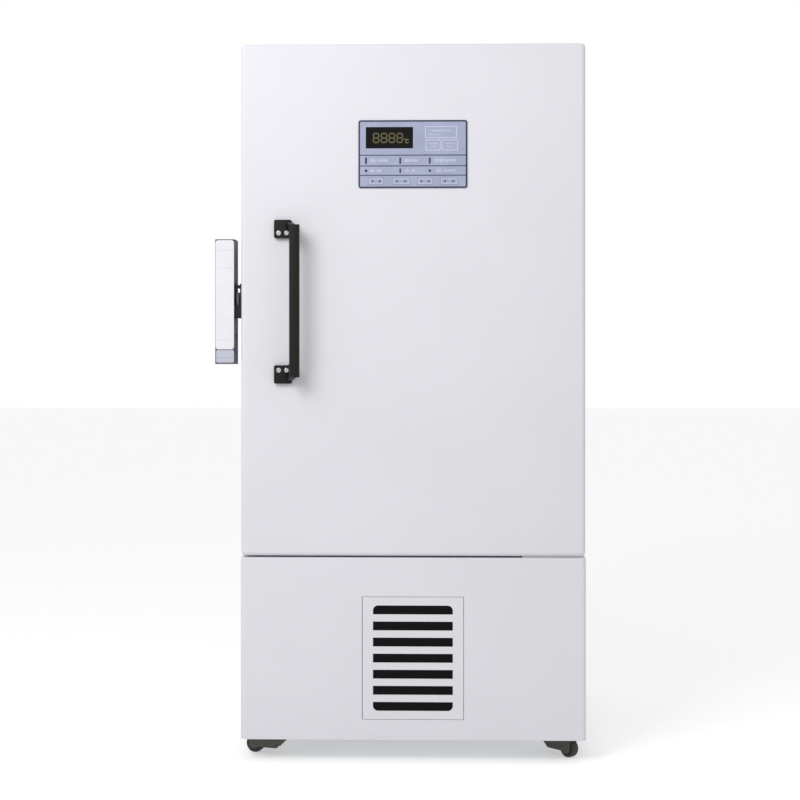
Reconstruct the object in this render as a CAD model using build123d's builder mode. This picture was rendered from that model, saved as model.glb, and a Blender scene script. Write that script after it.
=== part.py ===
"""Upright ultra low temperature freezer, one STEP file per sub-part.

Millimetres, +Z up, front towards -Y. The origin is the middle of the footprint at floor level.
"""
from build123d import *
import os
from math import cos, radians, sin, sqrt

os.makedirs("parts", exist_ok=True)

# Overall body
total_height = 1950.0
cabinet_width = 938.0
cabinet_depth = 780.0
door_width = 935.0
door_thickness = 95.0
gasket_gap = 14.0
wall_spacer_depth = 35.0
base_underside = 61.0
base_top = 554.5
door_sill_gap = 4.5
insulation = 130.0
sheet = 1.5
heavy_sheet = 3.0
body_corner_radius = 12.0
body_edge_radius = 12.0
touch_gap = 0.3

# Handle on the door
handle_standoff = 59.0
handle_bar_width = 28.0
handle_bar_depth = 24.0
handle_bar_wall = 3.0
handle_bar_offset = -316.0
handle_foot_offset = -352.0
handle_foot_width = 48.0
handle_foot_height = 50.0
handle_foot_thickness = 12.0
handle_top = 1471.0
handle_bottom = 1027.0
handle_bar_end_drop = 17.5
handle_collar_length = 43.0
handle_spigot_length = 28.0
handle_screw_spread = 10.8
handle_screw_drop = 11.3
screw_shank_radius = 3.0
screw_head_radius = 7.0
screw_head_height = 3.5
screw_depth = 14.0

# Latch on the left side of the door
latch_inner = 17.6
latch_outer = 72.0
latch_front_inset = 6.0
latch_depth = 74.0
latch_bottom = 1080.0
latch_top = 1420.0
latch_pin_out = 20.0
latch_pin_inset = 22.0
latch_pin_radius = 3.2
latch_pin_overlap = 28.0
latch_boss_radius = 6.5
latch_ear_radius = 8.0
latch_ear_clearance = 1.0
latch_bracket_bottom = 1205.0
latch_bracket_top = 1299.0
latch_lower_ear_height = 35.0
latch_upper_ear_height = 9.0
latch_bracket_sheet = 3.5
latch_bracket_depth = 52.0
latch_wall = 11.0
latch_front_wall = 20.0
hook_thickness = 5.0
hook_height = 50.0
hook_start = 45.0
hook_nose_thickness = 7.5
hook_nose_gap = 0.5
striker_out = 11.5
striker_thickness = 12.0
striker_setback = 13.0
striker_height = 70.0
running_fit = 0.05

# Door hinge
hinge_from_side = 30.0
hinge_from_front = 38.0
hinge_plate = 4.0
hinge_plate_bottom_thickness = 3.5
hinge_arm_half_width = 12.0
hinge_pin_radius = 6.0
hinge_pin_length = 24.0
hinge_bush_radius = 12.0
hinge_pocket_clearance = 1.0
hinge_swing = 115.0
hinge_plate_reach = 90.0
hinge_plate_flange = 110.0
sill_plate_left = 325.0
sill_plate_right = 458.0
door_stop_left = 297.0

# Chamber and inner doors
breaker_width = 70.0
breaker_thickness = 8.0
liner_corner_radius = 20.0
plug_clearance = 13.0
plug_depth = 30.0
plug_wall = 3.0
plug_corner_radius = 20.0
plug_edge_radius = 8.0
gasket_width = 46.0
gasket_inset = 6.0
inner_door_thickness = 30.0
inner_door_gap = 5.0
inner_door_pivot_inset = 34.0
inner_door_pivot_side = 12.5
inner_door_pivot_from_face = 8.0
inner_door_side_gap = 4.5
inner_hinge_tab = 3.0
inner_pin_radius = 3.0
inner_pin_length = 12.0
shelf_count = 3
shelf_sheet = 1.5
shelf_lip = 20.0
standard_width = 22.0
standard_thickness = 3.0
standard_slot_pitch = 25.0
standard_inset = 90.0
clip_reach = 10.0
coil_radius = 5.0
coil_passes = 8
coil_turn_radius = 20.0
port_bore_radius = 12.5
port_wall = 3.0
port_flange_radius = 26.0
port_from_top = 260.0

# Control panel
panel_width = 296.0
panel_height = 185.0
panel_middle = 1649.0
panel_thickness = 2.5
panel_corner_radius = 5.5
housing_margin = 6.0
housing_depth = 42.0
housing_wall = 2.0
window_left = 20.5
window_width = 128.0
window_height = 58.0
window_drop = 19.0
key_height = 17.6
key_drop = 166.0
key_lefts = (28.2, 93.2, 161.0, 223.3)
key_widths = (40.6, 46.0, 40.6, 46.0)
key_proud = 0.8
key_travel = 0.5
key_clearance = 0.4
key_depth = 9.0

# Base and air intake
grille_width = 274.0
grille_height = 331.0
grille_middle = 282.7
grille_gap = 1.25
grille_return = 12.0
grille_pivot = 3.0
grille_pin_radius = 1.4
slot_width = 216.5
slot_height = 24.1
slot_pitch = 43.6
slot_count = 7
slot_corner_radius = 14.0
filter_thickness = 8.0
pan_underside = 75.0
post_size = 30.0
front_panel_return = 40.0
base_ledge_radius = 3.0

# Refrigeration set in the base
condenser_width = 300.0
condenser_height = 340.0
condenser_depth = 60.0
condenser_setback = 25.0
fin_count = 21
condenser_passes = 8
fin_thickness = 1.2
condenser_tube_radius = 5.0
shroud_depth = 30.0
fan_radius = 122.0
fan_tip_gap = 6.0
fan_collar_depth = 26.0
fan_hub_radius = 30.0
fan_hub_length = 22.0
fan_blade_count = 5
fan_blade_pitch = 28.0
fan_shaft_radius = 4.0
motor_radius = 42.0
motor_length = 70.0
motor_gap = 8.0
compressor_radius = 105.0
compressor_height = 270.0
compressor_side = 215.0
compressor_setback = 395.0
mount_height = 18.0
exchanger_size = (190.0, 150.0, 300.0)
exchanger_setback = 635.0
control_box_size = (120.0, 210.0, 250.0)
pipe_radius = 5.0
pipe_bend = 22.0
pipe_stub = 14.0
pipe_spread = 40.0
pipe_level_step = 25.0
inlet_offset = -330.0
inlet_height = 300.0
inlet_body = (32.0, 84.0)
inlet_depth = 30.0
inlet_flange_margin = 6.0
inlet_flange_thickness = 3.0
inlet_socket = (24.0, 17.0)
switch_rise = 22.0
rocker_size = (14.0, 24.0)
rocker_depth = 10.0
rocker_pin_radius = 1.5

# Casters
wheel_radius = 25.0
wheel_width = 22.0
caster_side = 400.0
caster_front_setback = 99.5
caster_rear_setback = 90.0
caster_trail = 41.0
axle_radius = 4.0
fork_gap = 24.0
fork_cheek = 3.0
fork_top = 66.0
fork_crown = 6.0
fork_boss_radius = 14.0
fork_tail = 51.0
fork_underside = 16.0
kingpin_radius = 5.0
raceway_radius = 22.0
caster_plate = 4.0
caster_plate_length = 90.0
caster_plate_width = 72.0

# Planes of the body worked out from the sizes above
handle_reach = handle_standoff + handle_bar_depth / 2
overall_depth = handle_reach + door_thickness + gasket_gap + cabinet_depth + wall_spacer_depth
door_front = handle_reach - overall_depth / 2
door_rear = door_front + door_thickness
cabinet_front = door_rear + gasket_gap
cabinet_rear = cabinet_front + cabinet_depth
overall_width = latch_outer + door_width / 2 + cabinet_width / 2
cabinet_x = overall_width / 2 - cabinet_width / 2
cabinet_left = cabinet_x - cabinet_width / 2
cabinet_right = cabinet_x + cabinet_width / 2
door_left = cabinet_x - door_width / 2
door_right = cabinet_x + door_width / 2
cabinet_top = total_height - hinge_plate
door_bottom = base_top + door_sill_gap
door_height = total_height - door_bottom
door_middle = (total_height + door_bottom) / 2
chamber_half_width = cabinet_width / 2 - insulation
chamber_floor = base_top + insulation
chamber_ceiling = cabinet_top - insulation
chamber_height = chamber_ceiling - chamber_floor
chamber_middle = (chamber_floor + chamber_ceiling) / 2
chamber_rear = cabinet_rear - insulation
liner_front = cabinet_front + breaker_thickness
hinge_x = door_right - hinge_from_side
hinge_y = door_front + hinge_from_front
pan_top = pan_underside + heavy_sheet


def facing_front(x, y, z):
    """A plane that looks towards the front, with its own X to the right and Y up."""
    return Plane(origin=(x, y, z), x_dir=(1, 0, 0), z_dir=(0, -1, 0))


def block(x_span, y_span, z_span, mode=Mode.ADD):
    """Join or cut a box given by its limits along X, Y and Z."""
    middle = [(low + high) / 2 for low, high in (x_span, y_span, z_span)]
    with Locations(tuple(middle)):
        Box(x_span[1] - x_span[0], y_span[1] - y_span[0], z_span[1] - z_span[0], mode=mode)


def rod(plane, radius, length, mode=Mode.ADD):
    """Join or cut a round rod that starts on a plane and follows its normal."""
    with BuildSketch(plane) as section_sketch:
        Circle(radius)
    extrude(section_sketch.sketch, amount=length, mode=mode)


def plate(plane, width, height, thickness, corner, mode=Mode.ADD):
    """Join or cut a plate with rounded corners, centred on a plane and raised along its normal."""
    with BuildSketch(plane) as outline:
        RectangleRounded(width, height, corner)
    extrude(outline.sketch, amount=thickness, mode=mode)


def pipe(points, bend, radius):
    """Join a round pipe along straight runs with equal bends."""
    with BuildLine() as route:
        FilletPolyline(*points, radius=bend)
    with BuildSketch(Plane(origin=route.line @ 0, z_dir=route.line % 0)) as bore:
        Circle(radius)
    sweep(sections=bore.sketch, path=route.line)


def slab(width, height, front, rear, corner, edge):
    """A slab as tall as the door, with rounded corners and a rounded front rim."""
    with BuildPart() as body:
        with BuildSketch(facing_front(cabinet_x, rear, door_middle)):
            RectangleRounded(width, height, corner)
        extrude(amount=rear - front)
        fillet(body.faces().sort_by(Axis.Y)[0].edges(), edge)
    return body.part


def save(part, name):
    """Label a finished sub-part and write its STEP file."""
    part.label = name
    export_step(part, f"parts/{name}.step")


# Cabinet shell: one folded sheet over both sides and the top, with a front flange
flange_width = insulation - breaker_width
with BuildPart() as cabinet_shell:
    block((cabinet_left, cabinet_right), (cabinet_front, cabinet_rear - sheet), (base_top, cabinet_top))
    top_edges = cabinet_shell.faces().sort_by(Axis.Z)[-1].edges().filter_by(Axis.Y)
    fillet(top_edges, 2 * sheet)
    block(
        (cabinet_left + sheet, cabinet_right - sheet),
        (cabinet_front + sheet, cabinet_rear),
        (base_top, cabinet_top - sheet),
        Mode.SUBTRACT,
    )
    block(
        (cabinet_left + flange_width, cabinet_right - flange_width),
        (cabinet_front, cabinet_front + sheet),
        (base_top + flange_width, cabinet_top - flange_width),
        Mode.SUBTRACT,
    )
save(cabinet_shell.part, "cabinet_shell")

# Evaporator coil: one pipe that runs round both sides and the back of the liner, pass above pass
coil_gap = 0.2
coil_x = chamber_half_width + sheet + coil_gap + coil_radius
coil_rear = chamber_rear + sheet + coil_gap + coil_radius
coil_front = liner_front + insulation / 2
coil_pitch = chamber_height / coil_passes
coil_return_x = coil_x + 3 * coil_turn_radius / 2
corner_bend = liner_corner_radius + sheet + coil_gap + coil_radius


def coil_points():
    """The corners of the coil's path and the bend at each of them."""
    left = cabinet_x - coil_x
    right = cabinet_x + coil_x
    points = [(left, coil_front, base_top + sheet)]
    bends = []
    for index in range(coil_passes):
        z = chamber_floor + (index + 0.5) * coil_pitch
        one_pass = [(left, coil_front, z), (left, coil_rear, z), (right, coil_rear, z), (right, coil_front, z)]
        points += one_pass if index % 2 == 0 else one_pass[::-1]
        bends += [coil_turn_radius, corner_bend, corner_bend, coil_turn_radius]
    last_x, _, last_z = points[-1]
    out = cabinet_x + (coil_return_x if last_x > cabinet_x else -coil_return_x)
    points[-1] = (out, coil_front, last_z)
    points.append((out, coil_front, base_top + sheet))
    return points, bends


with BuildPart() as evaporator_coil:
    coil_corners, coil_bends = coil_points()
    with BuildLine() as coil_route:
        FilletPolyline(*coil_corners, radius=coil_bends)
    with BuildSketch(Plane(origin=coil_corners[0], z_dir=(0, 0, 1))):
        Circle(coil_radius)
    sweep(path=coil_route.line)
save(evaporator_coil.part, "evaporator_coil")

# Access port through the rear wall, with a flange on the outside
port_z = chamber_ceiling - port_from_top
port_outer_radius = port_bore_radius + port_wall
port_plane = facing_front(cabinet_x, cabinet_rear, port_z)
with BuildPart() as access_port_liner:
    rod(port_plane.offset(-port_wall), port_flange_radius, port_wall)
    rod(port_plane, port_outer_radius, insulation + port_wall)
    rod(port_plane.offset(-port_wall), port_bore_radius, insulation + 2 * port_wall, Mode.SUBTRACT)
save(access_port_liner.part, "access_port_liner")

# Back and floor of the outer casing: one folded sheet, with holes for the port and the coil's ends
with BuildPart() as cabinet_back:
    block((cabinet_left, cabinet_right), (cabinet_rear - sheet, cabinet_rear), (base_top, cabinet_top))
    block(
        (cabinet_left + sheet, cabinet_right - sheet),
        (cabinet_front + sheet, cabinet_rear - sheet),
        (base_top, base_top + sheet),
    )
    rod(port_plane, port_outer_radius, sheet, Mode.SUBTRACT)
    for end_x, end_y, _ in (coil_corners[0], coil_corners[-1]):
        rod(Plane(origin=(end_x, end_y, base_top)), coil_radius + 1, sheet, Mode.SUBTRACT)
save(cabinet_back.part, "cabinet_back")

def chamber_box(grow):
    """The inside of the chamber, grown by a wall, with its two rear uprights rounded."""
    with BuildPart() as box:
        with BuildSketch(facing_front(cabinet_x, chamber_rear + grow, chamber_middle)):
            Rectangle(2 * (chamber_half_width + grow), chamber_height + 2 * grow)
        extrude(amount=chamber_rear + grow - liner_front)
        uprights = box.faces().sort_by(Axis.Y)[-1].edges().filter_by(Axis.Z)
        fillet(uprights, liner_corner_radius + grow)
    return box.part


# Chamber liner: a stainless box that is open at the front
liner_envelope = chamber_box(sheet)
chamber_space = chamber_box(0)
with BuildPart() as chamber_liner:
    add(liner_envelope)
    add(chamber_space, mode=Mode.SUBTRACT)
    rod(port_plane, port_outer_radius, insulation + port_wall, Mode.SUBTRACT)
save(chamber_liner.part, "chamber_liner")

# Breaker frame: plastic, between the shell's front flange and the liner
breaker_half_width = cabinet_width / 2 - flange_width
with BuildPart() as breaker_frame:
    with BuildSketch(facing_front(cabinet_x, liner_front, chamber_middle)):
        Rectangle(2 * breaker_half_width, chamber_height + 2 * breaker_width)
        Rectangle(2 * chamber_half_width, chamber_height, mode=Mode.SUBTRACT)
    extrude(amount=breaker_thickness)
save(breaker_frame.part, "breaker_frame")

# Foam between shell and liner, cast round the coil and the port
with BuildPart() as insulation_foam:
    block(
        (cabinet_left + sheet, cabinet_right - sheet),
        (cabinet_front + sheet, cabinet_rear - sheet),
        (base_top + sheet, cabinet_top - sheet),
    )
    add(liner_envelope, mode=Mode.SUBTRACT)
    with BuildSketch(facing_front(cabinet_x, liner_front, chamber_middle)):
        Rectangle(2 * breaker_half_width, chamber_height + 2 * breaker_width)
    extrude(amount=breaker_thickness, mode=Mode.SUBTRACT)
    rod(port_plane, port_outer_radius, insulation, Mode.SUBTRACT)
    add(evaporator_coil.part, mode=Mode.SUBTRACT)
save(insulation_foam.part, "insulation_foam")

# Slotted standards on the side walls, each with a clip under every shelf
shelf_rear_gap = 6.0
shelf_front = cabinet_front + inner_door_pivot_inset + inner_door_thickness + 12
shelf_rear = chamber_rear - shelf_rear_gap
shelf_levels = [
    chamber_floor + chamber_height * (level + 1) / (shelf_count + 1) for level in range(shelf_count)
]
standard_rows = (shelf_front + standard_inset, shelf_rear - standard_inset)
slot_rows = int((chamber_height - 3 * standard_slot_pitch) / standard_slot_pitch)
slot_size = (5.0, 12.0)
with BuildPart() as shelf_standards:
    for side in (-1, 1):
        wall_x = cabinet_x + side * chamber_half_width
        inward = -side
        for row_y in standard_rows:
            strip = Plane(origin=(wall_x, row_y, chamber_middle), x_dir=(0, 1, 0), z_dir=(inward, 0, 0))
            with BuildSketch(strip):
                Rectangle(standard_width, chamber_height - standard_slot_pitch)
                with GridLocations(1, standard_slot_pitch, 1, slot_rows):
                    Rectangle(*slot_size, mode=Mode.SUBTRACT)
            extrude(amount=standard_thickness)
            for level in shelf_levels:
                clip_x = sorted((wall_x, wall_x + inward * (standard_thickness + clip_reach)))
                clip_y = (row_y - standard_width / 2, row_y + standard_width / 2)
                block(clip_x, clip_y, (level - 2 * shelf_sheet, level))
save(shelf_standards.part, "shelf_standards")

# Shelves: folded trays that rest on the clips
shelf_side_gap = 2.0
shelf_width = 2 * (chamber_half_width - standard_thickness - shelf_side_gap)
shelf_depth = shelf_rear - shelf_front
with BuildPart() as shelves:
    for level in shelf_levels:
        with BuildSketch(Plane.XY.offset(level)):
            with Locations((cabinet_x, (shelf_front + shelf_rear) / 2)):
                RectangleRounded(shelf_width, shelf_depth, liner_corner_radius)
                with GridLocations(shelf_width / 9, shelf_depth / 7, 8, 6):
                    SlotOverall(30, 8, mode=Mode.SUBTRACT)
        extrude(amount=shelf_sheet)
        for lip_y in (shelf_front + shelf_sheet / 2, shelf_rear - shelf_sheet / 2):
            with BuildSketch(Plane.XY.offset(level)):
                with Locations((cabinet_x, lip_y)):
                    Rectangle(shelf_width - 2 * liner_corner_radius, shelf_sheet)
            extrude(amount=-shelf_lip)
save(shelves.part, "shelves")

# Inner doors: one above the other, on pins at the right wall of the chamber
inner_pivot_x = cabinet_x + chamber_half_width - inner_door_pivot_side
inner_pivot_y = cabinet_front + inner_door_pivot_inset
inner_door_height = (chamber_height - 3 * inner_door_gap) / 2
inner_door_left = cabinet_x - chamber_half_width + inner_door_side_gap
inner_door_right = cabinet_x + chamber_half_width - inner_door_side_gap
inner_door_front = inner_pivot_y - inner_door_pivot_from_face
inner_door_floors = [
    chamber_floor + inner_door_gap + index * (inner_door_height + inner_door_gap) for index in range(2)
]
inner_pin_play = 1.0


def build_inner_door(floor_z):
    """One inner door with a recessed front, a finger pull and a pin hole at each end."""
    recess_margin = 30.0
    recess_depth = 4.0
    pull_size = (90.0, 24.0)
    middle_x = (inner_door_left + inner_door_right) / 2
    middle_z = floor_z + inner_door_height / 2
    front = facing_front(middle_x, inner_door_front, middle_z)
    with BuildPart() as door:
        plate(
            front.offset(-inner_door_thickness),
            inner_door_right - inner_door_left,
            inner_door_height,
            inner_door_thickness,
            3 * sheet,
        )
        plate(
            front,
            inner_door_right - inner_door_left - 2 * recess_margin,
            inner_door_height - 2 * recess_margin,
            -recess_depth,
            4 * sheet,
            Mode.SUBTRACT,
        )
        pull_x = inner_door_left + recess_margin + pull_size[0] / 2 + recess_margin
        plate(
            facing_front(pull_x, inner_door_front + recess_depth, middle_z),
            pull_size[0],
            pull_size[1],
            -inner_door_thickness / 2,
            5 * sheet,
            Mode.SUBTRACT,
        )
        for end_z, turn in ((floor_z, 1), (floor_z + inner_door_height, -1)):
            pin_hole = Plane(origin=(inner_pivot_x, inner_pivot_y, end_z), z_dir=(0, 0, turn))
            rod(pin_hole, inner_pin_radius + running_fit, inner_pin_length + inner_pin_play, Mode.SUBTRACT)
    return door.part


for door_name, floor_z in zip(("inner_door_lower", "inner_door_upper"), inner_door_floors):
    save(build_inner_door(floor_z), door_name)

# Hinge tabs of the inner doors, with pins up and down
tab_half_length = 9.0
tab_levels = (
    (chamber_floor + inner_door_gap / 2, False, True),
    (chamber_middle, True, True),
    (chamber_ceiling - inner_door_gap / 2, True, False),
)
tab_tip = inner_pivot_x - inner_pin_radius - 2 * sheet
with BuildPart() as inner_door_hinges:
    for tab_z, pin_below, pin_above in tab_levels:
        block(
            (tab_tip, cabinet_x + chamber_half_width),
            (inner_pivot_y - tab_half_length, inner_pivot_y + tab_half_length),
            (tab_z - inner_hinge_tab / 2, tab_z + inner_hinge_tab / 2),
        )
        reach = inner_door_gap / 2 + inner_pin_length
        if pin_below:
            pin_plane = Plane(origin=(inner_pivot_x, inner_pivot_y, tab_z), z_dir=(0, 0, -1))
            rod(pin_plane, inner_pin_radius, reach)
        if pin_above:
            rod(Plane(origin=(inner_pivot_x, inner_pivot_y, tab_z), z_dir=(0, 0, 1)), inner_pin_radius, reach)
save(inner_door_hinges.part, "inner_door_hinges")

# Hinge plates of the outer door, with their pins; the upper one lies in a pocket of the door's top
pin_axis_top = Plane(origin=(hinge_x, hinge_y, cabinet_top), z_dir=(0, 0, -1))
pin_axis_bottom = Plane(origin=(hinge_x, hinge_y, base_top + hinge_plate_bottom_thickness))
plate_back = cabinet_front + hinge_plate_reach
sill_plate_front = hinge_y - 2 * hinge_arm_half_width
with BuildPart() as door_hinge_plates:
    with BuildSketch(Plane.XY.offset(cabinet_top)):
        with Locations((hinge_x, hinge_y)):
            Circle(hinge_arm_half_width)
        with Locations((hinge_x, (hinge_y + plate_back) / 2)):
            Rectangle(2 * hinge_arm_half_width, plate_back - hinge_y)
        flange_front = cabinet_front + hinge_plate_reach / 4
        with Locations((cabinet_right - 2 * sheet - hinge_plate_flange / 2, (flange_front + plate_back) / 2)):
            Rectangle(hinge_plate_flange, plate_back - flange_front)
            with GridLocations(hinge_plate_flange * 0.6, hinge_plate_reach * 0.4, 2, 2):
                Circle(screw_shank_radius, mode=Mode.SUBTRACT)
    extrude(amount=hinge_plate)
    rod(pin_axis_top, hinge_pin_radius, hinge_pin_length)
    block(
        (cabinet_x + sill_plate_left, cabinet_x + sill_plate_right),
        (sill_plate_front, cabinet_front),
        (base_top, base_top + hinge_plate_bottom_thickness),
    )
    rod(pin_axis_bottom, hinge_pin_radius, hinge_pin_length)
    block(
        (cabinet_x + door_stop_left, cabinet_x + sill_plate_left),
        (sill_plate_front, sill_plate_front + 2 * hinge_arm_half_width),
        (base_top, base_top + hinge_plate_bottom_thickness),
    )
save(door_hinge_plates.part, "door_hinge_plates")


def hinge_pocket(depth):
    """The space that the top hinge arm sweeps in the top of the door, down to a depth."""
    reach = hinge_arm_half_width + hinge_pocket_clearance
    lean = radians(hinge_swing - 90)
    middle_angle = (radians(180) + radians(270) - lean) / 2
    right = hinge_from_side + 1
    rear = door_thickness - hinge_from_front + 1
    tangent_x = -reach * sin(lean)
    tangent_y = -reach * cos(lean)
    right_y = tangent_y - (right - tangent_x) * sin(lean) / cos(lean)
    with BuildPart() as pocket:
        with BuildSketch(Plane(origin=(hinge_x, hinge_y, total_height))):
            with BuildLine():
                Line((-reach, rear), (-reach, 0))
                ThreePointArc(
                    (-reach, 0),
                    (reach * cos(middle_angle), reach * sin(middle_angle)),
                    (tangent_x, tangent_y),
                )
                Polyline((tangent_x, tangent_y), (right, right_y), (right, rear), (-reach, rear))
            make_face()
        extrude(amount=-depth)
    return pocket.part


# Outer door: skin, foam core and the bushes that turn on the hinge pins
pocket_depth = hinge_plate + hinge_pocket_clearance / 2
pocket_floor = 2.0
door_liner_front = door_rear - plug_wall
door_solid = slab(door_width, door_height, door_front, door_rear, body_corner_radius, body_edge_radius)
door_core = slab(
    door_width - 2 * sheet,
    door_height - 2 * sheet,
    door_front + sheet,
    door_rear,
    body_corner_radius - sheet,
    body_edge_radius - sheet,
)
top_bush_space = Plane(origin=(hinge_x, hinge_y, total_height), z_dir=(0, 0, -1))
bottom_bush_space = Plane(origin=(hinge_x, hinge_y, door_bottom))
top_bush_depth = pocket_depth + pocket_floor + hinge_pin_length
bottom_bush_depth = hinge_pin_length + 2 * sheet
with BuildPart() as door_hinge_bushes:
    add(hinge_pocket(pocket_depth + pocket_floor))
    add(hinge_pocket(pocket_depth), mode=Mode.SUBTRACT)
    add(door_core, mode=Mode.INTERSECT)
    rod(top_bush_space.offset(pocket_depth), hinge_bush_radius, top_bush_depth - pocket_depth)
    rod(bottom_bush_space, hinge_bush_radius, bottom_bush_depth)
    bore = hinge_pin_radius + running_fit
    rod(top_bush_space, bore, top_bush_depth - sheet, Mode.SUBTRACT)
    rod(bottom_bush_space, bore, bottom_bush_depth - sheet, Mode.SUBTRACT)
save(door_hinge_bushes.part, "door_hinge_bushes")

# Control panel places, seen from the front
panel_left = cabinet_x - panel_width / 2
panel_top = panel_middle + panel_height / 2
housing_width = panel_width - 2 * housing_margin
housing_height = panel_height - 2 * housing_margin
window_x = panel_left + window_left + window_width / 2
window_z = panel_top - window_drop - window_height / 2
key_z = panel_top - key_drop
key_places = [panel_left + left + width / 2 for left, width in zip(key_lefts, key_widths)]

# Handle places
handle_foot_x = cabinet_x + handle_foot_offset
handle_bar_x = cabinet_x + handle_bar_offset
handle_bar_y = door_front - handle_standoff
handle_ends = ((handle_top, 1), (handle_bottom, -1))
screw_places = [
    (handle_foot_x + side * handle_screw_spread, end_z - turn * (handle_foot_height / 2 + handle_screw_drop))
    for end_z, turn in handle_ends
    for side in (-1, 1)
]

with BuildPart() as door_outer_skin:
    add(door_solid)
    add(door_core, mode=Mode.SUBTRACT)
    add(hinge_pocket(pocket_depth + pocket_floor), mode=Mode.SUBTRACT)
    rod(bottom_bush_space, hinge_bush_radius, sheet, Mode.SUBTRACT)
    with BuildSketch(facing_front(cabinet_x, door_front + sheet, panel_middle)):
        Rectangle(housing_width, housing_height)
    extrude(amount=sheet, mode=Mode.SUBTRACT)
    for screw_x, screw_z in screw_places:
        rod(facing_front(screw_x, door_front + sheet, screw_z), screw_shank_radius, sheet, Mode.SUBTRACT)
save(door_outer_skin.part, "door_outer_skin")

# The plug of the door stands inside the breaker frame when the door is shut
plug_half_width = chamber_half_width - plug_clearance
plug_height = chamber_height - 2 * plug_clearance
plug_rear = door_rear + plug_depth


def door_plug(shrink, front):
    """The raised inner side of the door, shrunk by a wall."""
    with BuildPart() as plug:
        with BuildSketch(facing_front(cabinet_x, plug_rear - shrink, chamber_middle)):
            RectangleRounded(
                2 * (plug_half_width - shrink), plug_height - 2 * shrink, plug_corner_radius - shrink
            )
        extrude(amount=plug_rear - shrink - front)
        fillet(plug.faces().sort_by(Axis.Y)[-1].edges(), plug_edge_radius - shrink)
    return plug.part


with BuildPart() as door_inner_liner:
    add(door_core)
    block(
        (cabinet_left, cabinet_right),
        (door_front - 1, door_liner_front),
        (door_bottom - 1, total_height + 1),
        Mode.SUBTRACT,
    )
    add(door_plug(0, door_liner_front))
    add(door_plug(plug_wall, door_liner_front), mode=Mode.SUBTRACT)
    add(hinge_pocket(pocket_depth + pocket_floor), mode=Mode.SUBTRACT)
save(door_inner_liner.part, "door_inner_liner")

with BuildPart() as door_foam:
    add(door_core)
    block(
        (cabinet_left, cabinet_right),
        (door_liner_front, door_rear + 1),
        (door_bottom - 1, total_height + 1),
        Mode.SUBTRACT,
    )
    add(door_plug(plug_wall, door_liner_front))
    add(hinge_pocket(pocket_depth + pocket_floor), mode=Mode.SUBTRACT)
    rod(top_bush_space, hinge_bush_radius, top_bush_depth, Mode.SUBTRACT)
    rod(bottom_bush_space, hinge_bush_radius, bottom_bush_depth, Mode.SUBTRACT)
    with BuildSketch(facing_front(cabinet_x, door_front + housing_depth, panel_middle)):
        Rectangle(housing_width, housing_height)
    extrude(amount=housing_depth, mode=Mode.SUBTRACT)
    for screw_x, screw_z in screw_places:
        screw_end = facing_front(screw_x, door_front + screw_depth, screw_z)
        rod(screw_end, screw_shank_radius, screw_depth, Mode.SUBTRACT)
save(door_foam.part, "door_foam")

# Gasket: a soft ring between the door's inner side and the breaker frame, with a hollow bellows
gasket_half_width = chamber_half_width + gasket_inset
gasket_half_height = chamber_height / 2 + gasket_inset
gasket_rear = cabinet_front - touch_gap
gasket_corner = plug_corner_radius
bellows_wall = 3.0


def gasket_ring(front, rear, shrink):
    """A rectangular ring with rounded corners, shrunk on both rims by a wall."""
    with BuildPart() as ring:
        with BuildSketch(facing_front(cabinet_x, rear, chamber_middle)):
            grow = gasket_width - shrink
            RectangleRounded(
                2 * (gasket_half_width + grow), 2 * (gasket_half_height + grow), gasket_corner + grow
            )
            RectangleRounded(
                2 * (gasket_half_width + shrink),
                2 * (gasket_half_height + shrink),
                gasket_corner + shrink,
                mode=Mode.SUBTRACT,
            )
        extrude(amount=rear - front)
    return ring.part


with BuildPart() as door_gasket:
    add(gasket_ring(door_rear, gasket_rear, 0))
    add(gasket_ring(door_rear + bellows_wall, gasket_rear - bellows_wall, bellows_wall), mode=Mode.SUBTRACT)
save(door_gasket.part, "door_gasket")

# Controller housing: a plastic tray let into the door behind the panel
housing_rear = door_front + housing_depth
key_seat = door_front + key_depth
post_inset = 2.5 * housing_wall
with BuildPart() as controller_housing:
    with BuildSketch(facing_front(cabinet_x, housing_rear - touch_gap, panel_middle)):
        Rectangle(housing_width - 2 * touch_gap, housing_height - 2 * touch_gap)
    extrude(amount=housing_rear - touch_gap - door_front)
    with BuildSketch(facing_front(cabinet_x, housing_rear - touch_gap - housing_wall, panel_middle)):
        Rectangle(housing_width - 2 * housing_wall, housing_height - 2 * housing_wall)
    extrude(amount=housing_depth, mode=Mode.SUBTRACT)
    for post_x in (-1, 1):
        for post_z in (-1, 1):
            post = facing_front(
                cabinet_x + post_x * (housing_width / 2 - post_inset),
                housing_rear - touch_gap - housing_wall,
                panel_middle + post_z * (housing_height / 2 - post_inset),
            )
            rod(post, 2 * housing_wall, post.origin.Y - door_front)
    key_rest = facing_front(cabinet_x, housing_rear - touch_gap - housing_wall, key_z)
    with BuildSketch(key_rest):
        with Locations((0, 0)):
            Rectangle(housing_width - 2 * housing_wall, key_height)
    extrude(amount=key_rest.origin.Y - key_seat - 3 * key_travel)
save(controller_housing.part, "controller_housing")

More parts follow.
